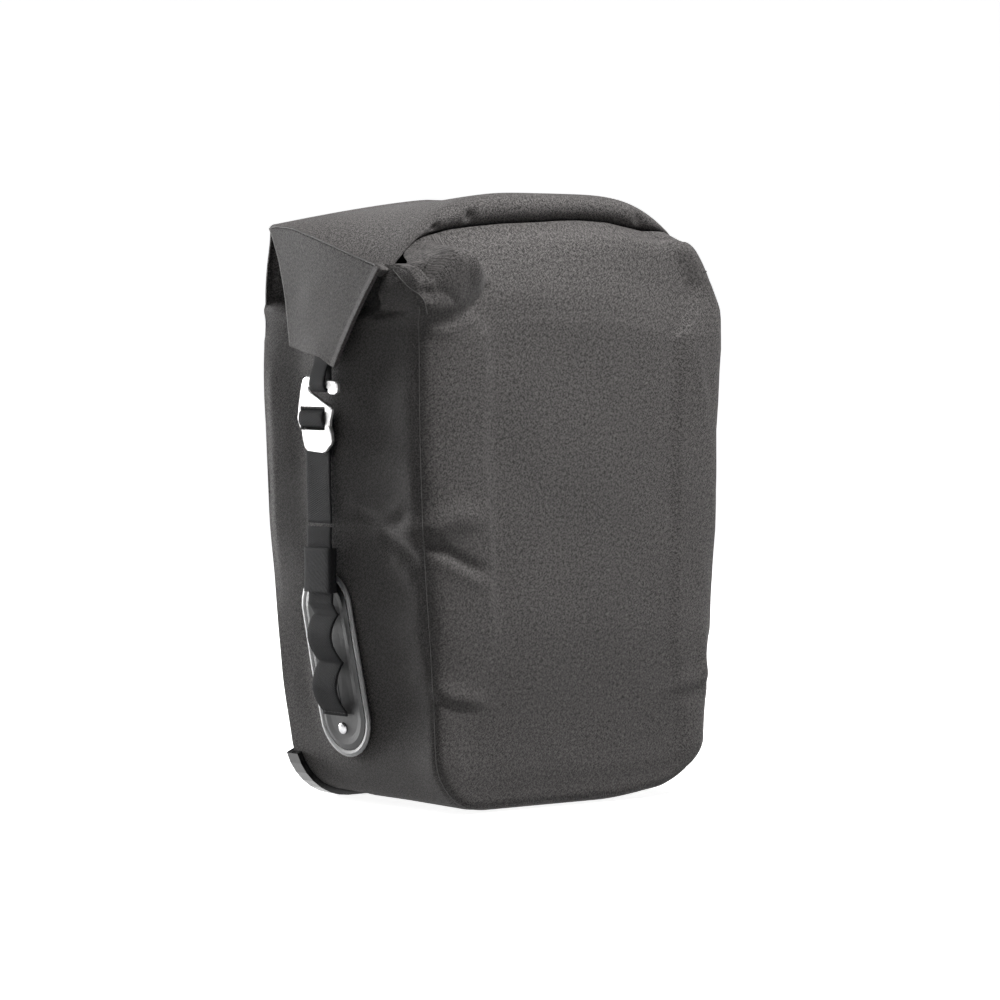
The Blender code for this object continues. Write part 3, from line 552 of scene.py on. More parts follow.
def shell_mesh(name):
    strip, patch, low, high = make_shell_grid()
    total, wide = strip.shape[:2]
    rows, columns = patch.shape[:2]
    vertices = [strip.reshape(-1, 3)]
    index = np.full((rows, columns), -1, int)
    last = wide - 1
    for r in range(rows):
        index[r, 0] = (low - r) * wide + last
        index[r, -1] = (high + r) * wide + last
    for c in range(columns):
        index[0, c] = (low + c) * wide + last
    inner = index < 0
    index[inner] = total * wide + np.arange(inner.sum())
    vertices.append(patch[inner])
    vertices = np.concatenate(vertices)
    faces, uvs = [], []
    strip_run = run_of(strip[:, SIDE_COLUMNS // 2])
    for r in range(total - 1):
        for c in range(wide - 1):
            quad = ((r, c), (r, c + 1), (r + 1, c + 1), (r + 1, c))
            faces.append(tuple(i * wide + j for i, j in quad))
            if c >= SEAM_COLUMN:
                uvs += [(strip[i, j, 0] - strip[i, j, 1] * 0.3, strip[i, j, 2]) for i, j in quad]
            else:
                uvs += [(strip[i, j, 1] + 300, strip_run[i]) for i, j in quad]
    for r in range(rows - 1):
        for c in range(columns - 1):
            quad = ((r, c), (r + 1, c), (r + 1, c + 1), (r, c + 1))
            faces.append(tuple(int(index[i, j]) for i, j in quad))
            uvs += [(patch[i, j, 0] + 22, patch[i, j, 2]) for i, j in quad]
    obj = mesh_from(name, vertices * MM, faces, None, FABRIC)
    layer = obj.data.uv_layers.new(name="weave")
    layer.data.foreach_set("uv", (np.array(uvs, np.float32) * MM).ravel())
    return obj, index, wide, high


# ------------------------------------------------------------------ folds and creases

# Each stroke: points (x, y, z) of its line, half width, height outwards.
STROKES = [
    # the long crease across the left front corner, above the keeper's height
    ([(-122, -20, 176), (-122, -45, 170), (-118, -66, 169), (-110, -75, 173), (-96, -77, 177),
      (-78, -80, 177), (-66, -81, 172)], 8.0, 3.6),
    ([(-121, -64, 166), (-117, -71, 168), (-112, -74, 162), (-97, -77, 155), (-82, -79, 148.5),
      (-66, -81, 142)], 4.2, -4.2),
    ([(-110, -75, 158), (-97, -77, 150), (-82, -79, 143), (-66, -81, 137)], 6.0, 1.6),
    ([(-121, -4, 187), (-121, -38, 180), (-120, -58, 189)], 5.0, 1.7),
    ([(-121, -9, 181), (-121, -40, 174), (-121, -60, 180)], 3.5, -1.8),
    ([(-121, -30, 168), (-121, -48, 161), (-120, -69, 150)], 5.0, -2.6),
    ([(-121, -40, 153), (-120, -62, 141)], 6.0, 1.4),
    # lower crease across the same corner
    ([(-119, -66, 80), (-112, -74, 77), (-97, -76, 72), (-80, -77, 69), (-62, -78, 61)], 6.0, 2.2),
    ([(-116, -70, 74), (-106, -75, 68), (-90, -77, 63), (-72, -78, 62), (-60, -78, 56)], 3.6, -2.2),
    ([(-117, -28, 68), (-117, -48, 76), (-117, -62, 84)], 5.0, 1.3),
    ([(-117, -58, 44), (-117, -38, 45), (-115, -22, 52)], 4.5, 1.2),
    ([(-117, -58, 38), (-116, -38, 38)], 4.0, -1.0),
    # right side
    ([(112, -72, 233), (104, -75, 252), (96, -76, 270), (90, -77, 285)], 5.0, 1.3),
    ([(116, -70, 228), (109, -74, 250), (102, -76, 268)], 4.0, -1.5),
    ([(108, -74, 59), (105, -75, 82), (104, -75, 110)], 5.0, 1.6),
    ([(113, -70, 66), (111, -73, 84), (110, -73, 104)], 3.6, -1.6),
    ([(108, -74, 128), (100, -76, 150)], 7.0, 1.0),
    # upper side, under the flap's front edge
    ([(-123, -52, 286), (-123, -36, 262), (-123, -26, 236)], 8.0, -1.6),
    ([(-123, -60, 262), (-122, -50, 232), (-122, -44, 205)], 9.0, 1.2),
    ([(-123, 66, 305), (-123, 50, 300), (-123, 36, 292)], 4.0, 1.0),
    # the folds behind the ear's root, and the soft ridge round its foot
    ([(-122, -26, 297.5), (-122, -44, 300), (-120, -60, 301), (-118, -68, 301)], 2.4, -7.0),
    ([(-122, -22, 299), (-120, -38, 309), (-119, -52, 321)], 4.5, 2.6),
    ([(-120, -70, 290), (-110, -76, 288.5), (-98, -78, 289), (-86, -79, 294), (-76, -79, 303),
      (-66, -78, 316)], 4.0, 1.5),
    # shallow drape on the front
    ([(-30, -80, 325), (-46, -80, 296), (-60, -80, 262)], 16.0, -1.2),
    ([(60, -78, 330), (74, -78, 300), (84, -78, 268)], 13.0, -1.0),
    ([(10, -79, 345), (6, -80, 318), (-4, -80, 290)], 14.0, -0.8),
    ([(-60, -79, 110), (-20, -81, 96), (30, -81, 92)], 16.0, -0.9),
]  # fmt: skip
# the left side's creases, softer, on the right side as well
MIRRORED = [([(-x, y, z) for x, y, z in line], width, height * 0.6) for line, width, height in STROKES[3:12]]


STROKE_STRENGTH = 0.85


def line_distance(points, line):
    """Distance from each point to a polyline, and how far along it the nearest place is, 0 to 1."""
    line = np.asarray(line, float)
    best = np.full(len(points), 1e9)
    place = np.zeros(len(points))
    lengths = np.linalg.norm(np.diff(line, axis=0), axis=1)
    run = np.concatenate([[0], np.cumsum(lengths)])
    for k in range(len(line) - 1):
        a, d = line[k], line[k + 1] - line[k]
        t = np.clip(((points - a) @ d) / (d @ d), 0, 1)
        gap = np.linalg.norm(points - (a + t[:, None] * d), axis=1)
        nearer = gap < best
        best = np.where(nearer, gap, best)
        place = np.where(nearer, (run[k] + t * lengths[k]) / run[-1], place)
    return best, place


def strokes_height(points, strokes):
    total = np.zeros(len(points))
    for line, width, height in strokes:
        smooth_line = catmull(line, 5) if len(line) > 2 else np.asarray(line, float)
        gap, place = line_distance(points, smooth_line)
        taper = smooth(np.minimum(place, 1 - place) / 0.28 + 0.12)
        total += STROKE_STRENGTH * height * taper * np.exp(-((gap / width) ** 2))
    return total


def swell(points):
    """Broad, irregular fullness of a stuffed fabric bag."""
    out = np.zeros(len(points))
    for k, p in enumerate(points):
        a = noise.noise(Vector((p[0] * 0.016 + 3, p[1] * 0.016, p[2] * 0.013)))
        b = noise.noise(Vector((p[0] * 0.045 + 9, p[1] * 0.045, p[2] * 0.032)))
        out[k] = 1.5 * a + 0.5 * b
    return out


def ear_height(x, z):
    """The folded ear at the left top corner: how far it stands out of the front, in millimetres."""
    ridge_z = [325, 328, 329, 330.4, 328.6, 323, 320, 318]
    ridge = np.interp(x, [-130, -118, -107, -97, -88, -79, -73, -66], ridge_z)
    foot = np.interp(x, [-130, -124, -98, -86, -79, -73, -68], [291, 291, 294, 299, 304, 309, 315])
    crest = np.interp(x, [-130, -122, -112, -97, -86, -79, -73, -67, -60], [6, 13, 23, 28, 26, 19, 10, 3, 0])
    span = np.maximum(ridge - foot, 2.0)
    s = np.clip((z - foot) / span, 0, 1)
    under = s * (1.12 - 0.12 * s**6) * smooth(0.25 + s * 3)
    above = 1 - smooth((z - ridge) / np.clip(lip_z(x) - ridge, 6, 15))
    clear = smooth((lip_z(x) + 1 - z) / 6.0)
    return crest * np.where(z < ridge, under, above) * clear


def follow_folds(before, after):
    """Lets the weave keep its size where the front is drawn out into folds."""
    longer = []
    for axis in (0, 1):
        gaps = [np.linalg.norm(np.diff(points[PATCH], axis=axis), axis=2) for points in (before, after)]
        extra = np.cumsum(gaps[1] - gaps[0], axis=axis)
        start = np.zeros_like(extra[:1] if axis == 0 else extra[:, :1])
        extra = np.concatenate([start, extra], axis=axis)
        longer.append(extra if axis == 0 else extra - extra[:, extra.shape[1] // 2][:, None])
    shift = np.zeros((len(before), 2))
    shift[PATCH.ravel()] = np.stack([longer[1].ravel(), longer[0].ravel()], 1)
    mesh = SHELL.data
    loops = np.empty(len(mesh.loops), np.int32)
    mesh.loops.foreach_get("vertex_index", loops)
    layer = mesh.uv_layers["weave"].data
    uvs = np.empty(len(loops) * 2, np.float32)
    layer.foreach_get("uv", uvs)
    in_patch = np.zeros(len(loops), bool)
    in_patch[-(PATCH.shape[0] - 1) * (PATCH.shape[1] - 1) * 4 :] = True
    uvs = uvs.reshape(-1, 2) + shift[loops] * in_patch[:, None] * MM
    layer.foreach_set("uv", uvs.astype(np.float32).ravel())


# the right side's own lean in and out, by height
RIGHT_LEAN = [
    (5, 0), (17, 4.4), (32, 4.2), (54, 1.8), (75, -0.3), (130, -1.6), (165, -2.4), (190, -4.2),
    (227, -3.9), (246, -1.8), (277, 0.6), (302, -0.6), (318, -3.4),
]  # fmt: skip

SHELL, PATCH, WIDE, HIGH = shell_mesh("bag_skin")
mesh = SHELL.data
coords = read(mesh, "co") / MM
normals = read(mesh, "normal")
BAG_MIDDLE = np.array([0, 0, 180.0])
outside = np.sign(np.sum(normals * (coords - BAG_MIDDLE), 1).mean())
normals *= outside

x, y, z = coords.T
on_side = np.abs(x) > 100
# the front's fullness, flatter towards the base and the roll
across = np.clip(np.abs(x) / 112.0, 0, 1)
by_height = np.interp(z, [0, 14, 45, 110, 250, 312, 338, 355], [0, 0.15, 0.45, 1, 1, 0.85, 0.35, 0])
full = (1 - across**2.4) * by_height
facing = np.clip(-normals[:, 1], 0, 1) ** 2
bulge = 4.6 * full * facing * (y < -30)
# the foot: flat in the middle, rising to the seams
under = np.clip(-normals[:, 2], 0, 1) ** 2 * (z < 12)
foot = smooth((half_span(4.0) + 4 - np.abs(x)) / 18) * smooth((y + 71) / 16) * smooth((69 - y) / 24)
sag = -4.0 * foot * under * np.clip(z / 4.0, 0, 1)

height = strokes_height(coords, STROKES + MIRRORED)
by_height = np.interp(z, [0, 20, 60, 300, 330, 350], [0, 0.3, 1, 1, 0.7, 0.2])
height += swell(coords) * by_height * np.clip(1 - under * 2, 0, 1)
# kept flat under the oval, and clear of the strap
lift = np.hypot((y - 13.5) / 28.0, (z - 87.5) / 60.0)
side_face = np.abs(normals[:, 0]) > 0.8
keep = np.where(side_face, smooth((lift - 0.95) / 0.35), 1.0)
height *= keep
height = np.where(side_face & (np.abs(y - 14) < 24) & (z > 125), np.minimum(height, 0.3), height)
# the rear of each side stands a little fuller than the front
rear_part = rear_fullness(z) * smooth((y - 34) / 34)
middle = 1.4 * smooth((y - 28) / 22) * smooth((z - 110) / 60) * smooth((272 - z) / 20)
rear_part += middle * smooth((68 - y) / 8)
rear_part *= (y > 25) * on_side
# the side is tucked in behind the flap, above the fold
tuck = np.where(
    on_side & (y > -62),
    smooth((z - np.interp(y, [-60, -20, 30, 69], [300, 296, 299, 303])) / 9)
    * np.interp(y, [-62, -48, -30, 56, 66, 69], [0, 5, 10, 10, 6, 1.5])
    * np.interp(z, [300, 320, 345, 352], [1, 1, 0.6, 0.3]),
    0,
)
lip_line = np.interp(y, [-60, -20, 30, 69], [298, 294, 297, 301])
lip = np.where(on_side & (y > -40), 1.3 * np.exp(-(((z - lip_line) / 4) ** 2)), 0)
height += np.where(np.abs(y - 14) < 26, 0, lip) * smooth((y - 20) / 20)

# the side turns in towards the front edge
side_share = smooth((np.abs(normals[:, 0]) - 0.3) / 0.6) * (x < 0)
height -= 3.0 * side_share * smooth((-y + 4) / 60) * np.interp(z, [20, 70, 290, 310], [0.3, 1, 1, 0.3])

moved = coords + normals * height[:, None]
moved[:, 1] -= bulge
moved[:, 2] += sag
moved[:, 0] += np.sign(x) * (rear_part - tuck * smooth((y + 43) / 12))
ear = ear_height(x, z) * smooth((-y - 40) / 8)
moved[:, 1] -= ear
moved[:, 2] += ear * 0.2 * smooth((x + 116) / 18)
# the hollow under the ear's root
hollow = np.exp(-(((x + 116) / 7.0) ** 2) - (((z - 311) / 4.0) ** 2)) * (y < -35) * (x < 0)
moved[:, 1] += 3 * hollow
turned = smooth((14 - y) / 76) * smooth((-x - 82) / 32) * np.interp(z, [20, 70, 290, 312], [0.3, 1, 1, 0.4])
moved[:, 0] += 4.4 * turned
lean_z, lean_x = zip(*RIGHT_LEAN)
moved[:, 0] += np.interp(z, lean_z, lean_x) * smooth((x - 20) / 90) * smooth((70 - y) / 60)
moved[:, 2] += 4.2 * smooth((x - 30) / 55) * smooth((34 - z) / 22) * smooth((-y - 20) / 40)
mesh.vertices.foreach_set("co", (moved * MM).ravel())
mesh.update()
if outside < 0:
    mesh.flip_normals()
follow_folds(coords, moved)
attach(SHELL, "bag")
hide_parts("front_panel", "gusset_left", "gusset_right", "base_panel")


def thicken(obj, depth):
    add(obj, "SOLIDIFY", thickness=depth * MM, offset=-1)
    apply_all(obj)
    obj.data.set_sharp_from_angle(angle=math.radians(50))
    return obj


# the welded seams: down the left front edge, and over the ear
seam_rows = range(TOP_ROWS - 14, HIGH + len(PATCH) - 8)
front_edge = (read(SHELL.data, "co") / MM)[[r * WIDE + SEAM_COLUMN for r in seam_rows]]
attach(tube("seam_front", front_edge, 0.34, WELD), "bag")
EAR_SEAM = [(-119.5, -50, 325), (-121, -58, 320.5), (-120, -65, 315.5), (-117, -76, 308), (-114, -77, 298)]
on_skin = [SHELL.closest_point_on_mesh(Vector(p) * MM)[1] / MM for p in catmull(EAR_SEAM, 8)]
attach(tube("seam_ear", np.array([tuple(p) for p in on_skin]), 0.36, WELD), "bag")
thicken(SHELL, 1.1)

# ------------------------------------------------------------------ rear fabric

rear_rows = np.concatenate([np.linspace(4, 36, 18)[:-1], np.linspace(36, 352, 110)])
REAR_WIDE = 84
rear_grid, rear_uv = [], []
for level in rear_rows:
    t = (level - 4) / 348.0
    for k in range(REAR_WIDE + 1):
        u = 2 * k / REAR_WIDE - 1
        half = float(half_span(level) + rear_fullness(level)) - 0.5
        px = u * half
        pz = level + (float(rear_top_z(px)) - 352.0) * max(0, (level - 300) / 52.0) if level > 300 else level
        edge = min(1 - abs(u), t, 1) * 14
        soft = 0.45 * noise.noise(Vector((px * 0.03, 5, pz * 0.03)))
        rear_grid.append((px, 68.95 - 0.5 * (1 - min(edge, 1)) + soft * min(edge, 1) * 0.3, pz))
        rear_uv.append((px * MM, pz * MM))
rear_faces = grid_faces(len(rear_rows), REAR_WIDE + 1)
rear = mesh_from("rear_fabric", np.array(rear_grid) * MM, rear_faces, rear_uv, FABRIC)
flip_if_inward(rear, lambda c: (0, 1, 0))
thicken(rear, 1.2)
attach(rear, "bag")
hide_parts("rear_panel")

# ------------------------------------------------------------------ the rolled top and its flaps

OUTER, FRONT_TURN, UNDER = 44, 22, 12  # points along the sheet, round the roll's front, and under it
ROLL_Y, ROLL_HALF_Y, ROLL_END_Z = -33.0, 12.6, 3.4
ROLL_REAR_Y, SHEET = 69.4, 1.3
HEM, HEM_LIFT = 14, 0.9  # the flap's front edge: points across its hem, and how far the hem stands proud
SPAN = 118.0  # half the roll's length, up to where its ends turn down


def notch(x):
    """Small dents where the roll's front edge is pinched."""
    dent = 0
    for at, wide, deep in ((-83, 4.0, 4.2), (-56.5, 3.4, 4.6), (77, 4.0, 3.0)):
        dent += deep * math.exp(-(((x - at) / wide) ** 2))
    return dent


def roll_half_z(x):
    return max(ROLL_END_Z, 0.6 + (float(roll_top_z(x)) - float(lip_z(x))) / 2)


def roll_section(x):
    """Outer line (y, z) from the rear edge over the crest and round the roll, then the inner line."""
    inside = min(abs(x), SPAN)
    signed = math.copysign(inside, x)
    top = float(roll_top_z(signed))
    rear_z = float(rear_top_z(signed)) + 1.3
    half_z = roll_half_z(signed)
    centre = (ROLL_Y, top - half_z)
    outer = []
    for k in range(OUTER):
        t = k / OUTER
        yy = ROLL_REAR_Y + (centre[0] - ROLL_REAR_Y) * t
        drop = 1.6 * math.sin(math.pi * t) * (1 - (inside / SPAN) ** 2)
        outer.append((yy, rear_z + (top - rear_z) * float(smooth(t)) - drop))
    for k in range(FRONT_TURN):
        a = math.pi * k / FRONT_TURN
        dent = notch(signed) * math.exp(-(((a - 1.75) / 0.55) ** 2))
        wide = ROLL_HALF_Y - dent
        outer.append((centre[0] - wide * math.sin(a), centre[1] + (half_z - dent * 0.25) * math.cos(a)))
    for k in range(UNDER):
        a = math.pi * (1 + 0.5 * k / UNDER)
        outer.append((centre[0] - ROLL_HALF_Y * math.sin(a) * 0.8, centre[1] + half_z * math.cos(a)))
    inner = []
    for k in range(OUTER):
        t = (1 - (k + 1) / OUTER * 0.985) * 0.86
        yy = ROLL_REAR_Y + (centre[0] - ROLL_REAR_Y) * t
        drop = 1.6 * math.sin(math.pi * t) * (1 - (inside / SPAN) ** 2)
        inner.append((yy, rear_z + (top - rear_z) * float(smooth(t)) - drop - SHEET))
    return np.array(outer + inner, float)


# the flap's crease and its foot, from the rear edge to the front one
TOP_YZ = [
    (67, 352.5), (58, 353.4), (40, 352), (18, 346.6), (-4, 340.8), (-26, 334.6), (-44, 329.6), (-50, 327.6),
]  # fmt: skip
BOTTOM_YZ = [
    (43, 279.5), (36, 278.2), (28, 276.4), (20, 275.2), (12, 275.0), (5, 272.0), (-2, 268.6), (-8, 266.8),
]  # fmt: skip


def flap_shape():
    """For each point of the end section: its share of the way forward, its crease and foot points (y, z),
    how deep in the sheet it lies, and the rounding of the front edge."""
    shares = np.concatenate([
        np.linspace(0, 0.86, OUTER, endpoint=False),
        np.linspace(0.86, 0.995, HEM, endpoint=False),
        np.linspace(0.995, 1.0, FRONT_TURN - HEM, endpoint=False),
        np.linspace(1.0, 0.90, UNDER, endpoint=False),
        np.linspace(0.90, 0.0, OUTER),
    ])  # fmt: skip
    grow = np.linspace(0, 1, len(TOP_YZ))
    top = np.stack([np.interp(shares, grow, [p[k] for p in TOP_YZ]) for k in (0, 1)], 1)
    foot = np.stack([np.interp(shares, grow, [p[k] for p in BOTTOM_YZ]) for k in (0, 1)], 1)
    turn = np.linspace(0, math.pi, FRONT_TURN - HEM, endpoint=False)
    depth = np.concatenate([
        np.zeros(OUTER),
        -HEM_LIFT * smooth(np.linspace(0, 1, HEM, endpoint=False)),
        -HEM_LIFT + (1.5 + HEM_LIFT) * (1 - np.cos(turn)) / 2,
        np.full(UNDER, 1.5),
        np.interp(np.linspace(0, 1, OUTER), [0, 0.12, 0.5, 1], [1.5, 1.5, 1.3, 1.2]),
    ])  # fmt: skip
    round_y = np.concatenate([np.zeros(OUTER + HEM), -0.5 * np.sin(turn), np.zeros(UNDER + OUTER)])
    return shares, top, foot, depth, round_y


def flap_out(shares, q):
    """How far out the flap's face is: close to the bag at its rear edge, fuller towards the roll."""
    rear, front = 125.2 + 2.0 * q, 128.6 + 2.4 * q
    return rear + (front - rear) * smooth(shares / 0.75)


BEND_STEPS, FLAP_STEPS = 8, 40  # rows round the roll's end, and down the flap


def roll_rows():
    rows = []
    middle = np.linspace(-SPAN, SPAN, 150)
    ends = {}
    for side in (-1, 1):
        section = roll_section(side * SPAN)
        shares, top, foot, depth, round_y = flap_shape()
        made = []
        for k in range(1, BEND_STEPS + 1):
            a = k / BEND_STEPS * math.pi / 2
            blend_in = float(smooth(k / BEND_STEPS))
            yz = section * (1 - blend_in) + top * blend_in
            z_out = section[:, 1] * (1 - blend_in) + (top[:, 1] - 1.5) * blend_in
            reach = SPAN + (flap_out(shares, 0) - SPAN) * math.sin(a)
            xx = reach - depth * blend_in
            made.append(np.stack([side * xx, yz[:, 0] + round_y * blend_in, z_out], 1))
        for k in range(1, FLAP_STEPS + 1):
            q = k / FLAP_STEPS
            yz = top * (1 - q) + foot * q
            front = np.clip((shares - 0.7) / 0.3, 0, 1)
            hollow = 2.2 * math.sin(math.pi * min(q * 1.05, 1)) * front
            rear_hollow = 4.5 * math.sin(math.pi * q**0.8) * np.clip(1 - shares / 0.4, 0, 1)
            yy = yz[:, 0] + hollow + round_y - rear_hollow
            dish = 0.9 * math.sin(math.pi * q) * np.sin(math.pi * np.clip(shares, 0, 1))
            wave = np.array([0.5 * noise.noise(Vector((side * 7, p[0] * 0.05, p[1] * 0.05))) for p in yz])
            out = flap_out(shares, q) - dish + wave * math.sin(math.pi * q)
            xx = out - depth
            made.append(np.stack([side * xx, yy, yz[:, 1] - 1.5 * (1 - q)], 1))
        ends[side] = made
    rows += ends[-1][::-1]
    for xx in middle:
        section = roll_section(xx)
        rows.append(np.stack([np.full(len(section), xx), section[:, 0], section[:, 1]], 1))
    rows += ends[1]
    return np.array(rows)


ROWS = roll_rows()
per_row = ROWS.shape[1]
flat = ROWS.reshape(-1, 3)
faces = grid_faces(len(ROWS), per_row, ring=True)
faces.append(tuple(range(per_row)))
faces.append(tuple(reversed(range((len(ROWS) - 1) * per_row, len(ROWS) * per_row))))
run_along = run_of(ROWS[:, OUTER // 2])
run_round = run_of(ROWS[len(ROWS) // 2])
uv = np.stack(np.meshgrid(run_along, run_round, indexing="ij"), -1).reshape(-1, 2) * MM
roll = outwards(mesh_from("rolled_top", flat * MM, faces, uv, FABRIC))
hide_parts("roll_closure", "roll_flap_left", "roll_flap_right")
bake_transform(roll)

for side in (-1, 1):
    row = FLAP_STEPS + 1 if side < 0 else len(ROWS) - FLAP_STEPS - 2
    crease = ROWS[row][2 : OUTER + 6]
    bead = tube("flap_seam_" + NAMES[side], crease + np.array([side * 0.2, 0, 0.35]), 0.6, WELD)
    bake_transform(bead)

# the stiff strip sewn into the roll, following its centre
BATTEN = [(-5.5, -0.7), (5.5, -0.7), (5.5, 0.7), (-5.5, 0.7)]
BATTEN_X = np.linspace(-112, 112, 57)
batten_points = [
    (x, ROLL_Y + dy, float(roll_top_z(x)) - roll_half_z(x) + dz) for x in BATTEN_X for dy, dz in BATTEN
]
batten_faces = grid_faces(len(BATTEN_X), 4, ring=True)
batten_faces += [(0, 1, 2, 3), tuple(4 * len(BATTEN_X) - k for k in (1, 2, 3, 4))]
batten = outwards(mesh_from("batten_strip", np.array(batten_points) * MM, batten_faces, None, BOARD, False))
add(batten, "BEVEL", width=0.0004, segments=2, limit_method="ANGLE")
apply_all(batten)
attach(batten, "roll_top")
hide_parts("closure_batten")

# ------------------------------------------------------------------ straps and hooks


def ribbon(path, width, thick, centre_y, material, waviness=None):
    """Flat webbing along path (out, z), thick mm, its width along Y, both ends closed."""
    path = np.asarray(path, float)
    tangents = np.gradient(path, axis=0)
    tangents /= np.linalg.norm(tangents, axis=1)[:, None]
    normal = np.stack([-tangents[:, 1], tangents[:, 0]], 1)
    run = run_of(path)
    across = np.array([-1, -0.96, -0.9, -0.6, -0.3, 0, 0.3, 0.6, 0.9, 0.96, 1.0])
    thin = np.array([0.35, 0.8, 1, 1, 1, 1, 1, 1, 1, 0.8, 0.35])
    ring_y = np.concatenate([across, across[::-1]])
    ring_n = np.concatenate([thin, -thin[::-1]])
    vertices, uvs = [], []
    for k, (p, n) in enumerate(zip(path, normal)):
        shift = waviness(run[k]) if waviness else (0.0, 0.0)
        for a, b in zip(ring_y, ring_n):
            bow = shift[1] * (1 - a * a)
            q = p + n * (b * thick / 2 + bow)
            vertices.append((q[0], centre_y + shift[0] + a * width / 2, q[1]))
            uvs.append(((a * width / 2 + (0 if b > 0 else 60)) * MM, run[k] * MM))
    count = len(ring_y)
    faces = grid_faces(len(path), count, ring=True)
    faces.append(tuple(range(count)))
    faces.append(tuple(reversed(range((len(path) - 1) * count, len(path) * count))))
    return vertices, faces, uvs, material


def mirrored_mesh(name, built, side):
    vertices, faces, uvs, material = built
    vertices = np.array(vertices, float)
    vertices[:, 0] *= side
    return outwards(mesh_from(name, vertices * MM, faces, uvs, material))


def stitches(name, rows):
    """Short raised threads, each from a to b."""
    parts = []
    for k, (a, b) in enumerate(rows):
        a, b = np.array(a, float), np.array(b, float)
        line = [a + (b - a) * t for t in (0, 0.2, 0.5, 0.8, 1)]
        parts.append(tube(f"{name}_{k}", line, 0.22, THREAD, 5))
    bpy.ops.object.select_all(action="DESELECT")
    for part in parts:
        part.select_set(True)
    bpy.context.view_layer.objects.active = parts[0]
    bpy.ops.object.join()
    parts[0].name = name
    return parts[0]


STRAP_W, STRAP_Y = 24.4, 13.9
STITCHED = (117.5, 88.5, 58.0)  # heights at which the lower strap is sewn down, with a loop between each two
STITCH_Z = (119.0, 116.6, 90.0, 87.0, 60.0, 57.6)
UPPER_RISE = [(125.6, 172.8), (125.9, 186), (126.3, 200), (126.6, 214), (126.75, 222), (126.8, 227.4)]
UPPER_TURN = [
    (126.8, 228.2), (127.6, 230.3), (129.8, 231.3), (131.6, 232.2), (132.5, 234.2), (132.6, 236.2),
    (132.3, 238.8), (131.2, 240.3), (129.2, 241.1), (126.9, 241.2), (125.5, 240.4), (125.0, 238.0),
    (124.9, 230), (124.8, 222), (124.85, 214),
]  # fmt: skip
# closure loop: webbing out of the flap, round the hook's top bar
CLOSURE_LOOP = [
    (126.9, 280), (127.0, 274), (127.0, 268.5), (127.0, 262), (127.1, 256.2), (128.0, 253.6), (129.7, 252.6),
    (131.4, 253.6), (132.4, 256.2), (132.0, 260), (130.6, 265), (129.0, 269), (128.3, 273), (128.2, 279),
]  # fmt: skip


def upper_sway(run):
    return 0.5 * math.sin(run * 0.05), 0.35 * math.sin(run * 0.045)


def lower_sway(run):
    return 0.7 * math.sin(run * 0.11 + 1), 0.0


def lower_strap_path():
    """Down through the keeper, then in loops over the oval between its stitched lines."""
    path = list(catmull([(125.6, 170.6), (125.6, 160), (125.6, 146), (125.5, 132), (125.3, 124)], 6))
    for start, end in zip(STITCHED[:-1], STITCHED[1:]):
        for k in range(14):
            s = k / 14
            z = start + (end - start) * s
            path.append((float(half_width(z)) + 4.2 + 6.6 * math.sin(math.pi * s) ** 0.85, z))
    path.append((float(half_width(58.0)) + 4.2, 58.0))
    path.append((float(half_width(55.5)) + 4.1, 55.8))
    return path


def keeper_band():
    """A sleeve of webbing round the strap, pinched a little at its middle: an outer and an inner wall."""
    low, high, half_y, half_x, wall = 131.0, 158.0, 13.5, 2.7, 1.5
    loop = []
    for k in range(48):
        a = 2 * math.pi * k / 48
        c, s = math.cos(a), math.sin(a)
        loop.append((math.copysign(abs(c) ** 0.35, c) * half_x, math.copysign(abs(s) ** 0.55, s) * half_y))
    points, uvs, faces = [], [], []
    levels = np.linspace(low, high, 12)
    count = len(loop)
    for layer in (0, 1):
        for z in levels:
            pinch = 0.25 * math.sin(math.pi * ((z - low) / (high - low)))
            grow = wall / 2 - pinch if layer == 0 else -wall / 2 - pinch
            for dx, dy in np.array(loop):
                n = np.array([dx / half_x**2, dy / half_y**2])
                n /= np.linalg.norm(n)
                points.append((125.6 + dx + n[0] * grow, STRAP_Y + dy + n[1] * grow, z))
                uvs.append((z * MM, (dy + (0 if dx > 0 else 40)) * MM))
    inner = len(levels) * count
    for f in grid_faces(len(levels), count, ring=True):
        faces.append(f)
    for f in grid_faces(len(levels), count, ring=True):
        faces.append(tuple(inner + i for i in f[::-1]))
    top = inner - count
    for k in range(count):
        n = (k + 1) % count
        faces.append((k, inner + k, inner + n, n))
        faces.append((top + k, top + n, inner + top + n, inner + top + k))
    return points, faces, uvs, WEBBING


def paint(material, *nodes):
    for node in nodes:
        NODES[node].data.materials.clear()
        NODES[node].data.materials.append(material)


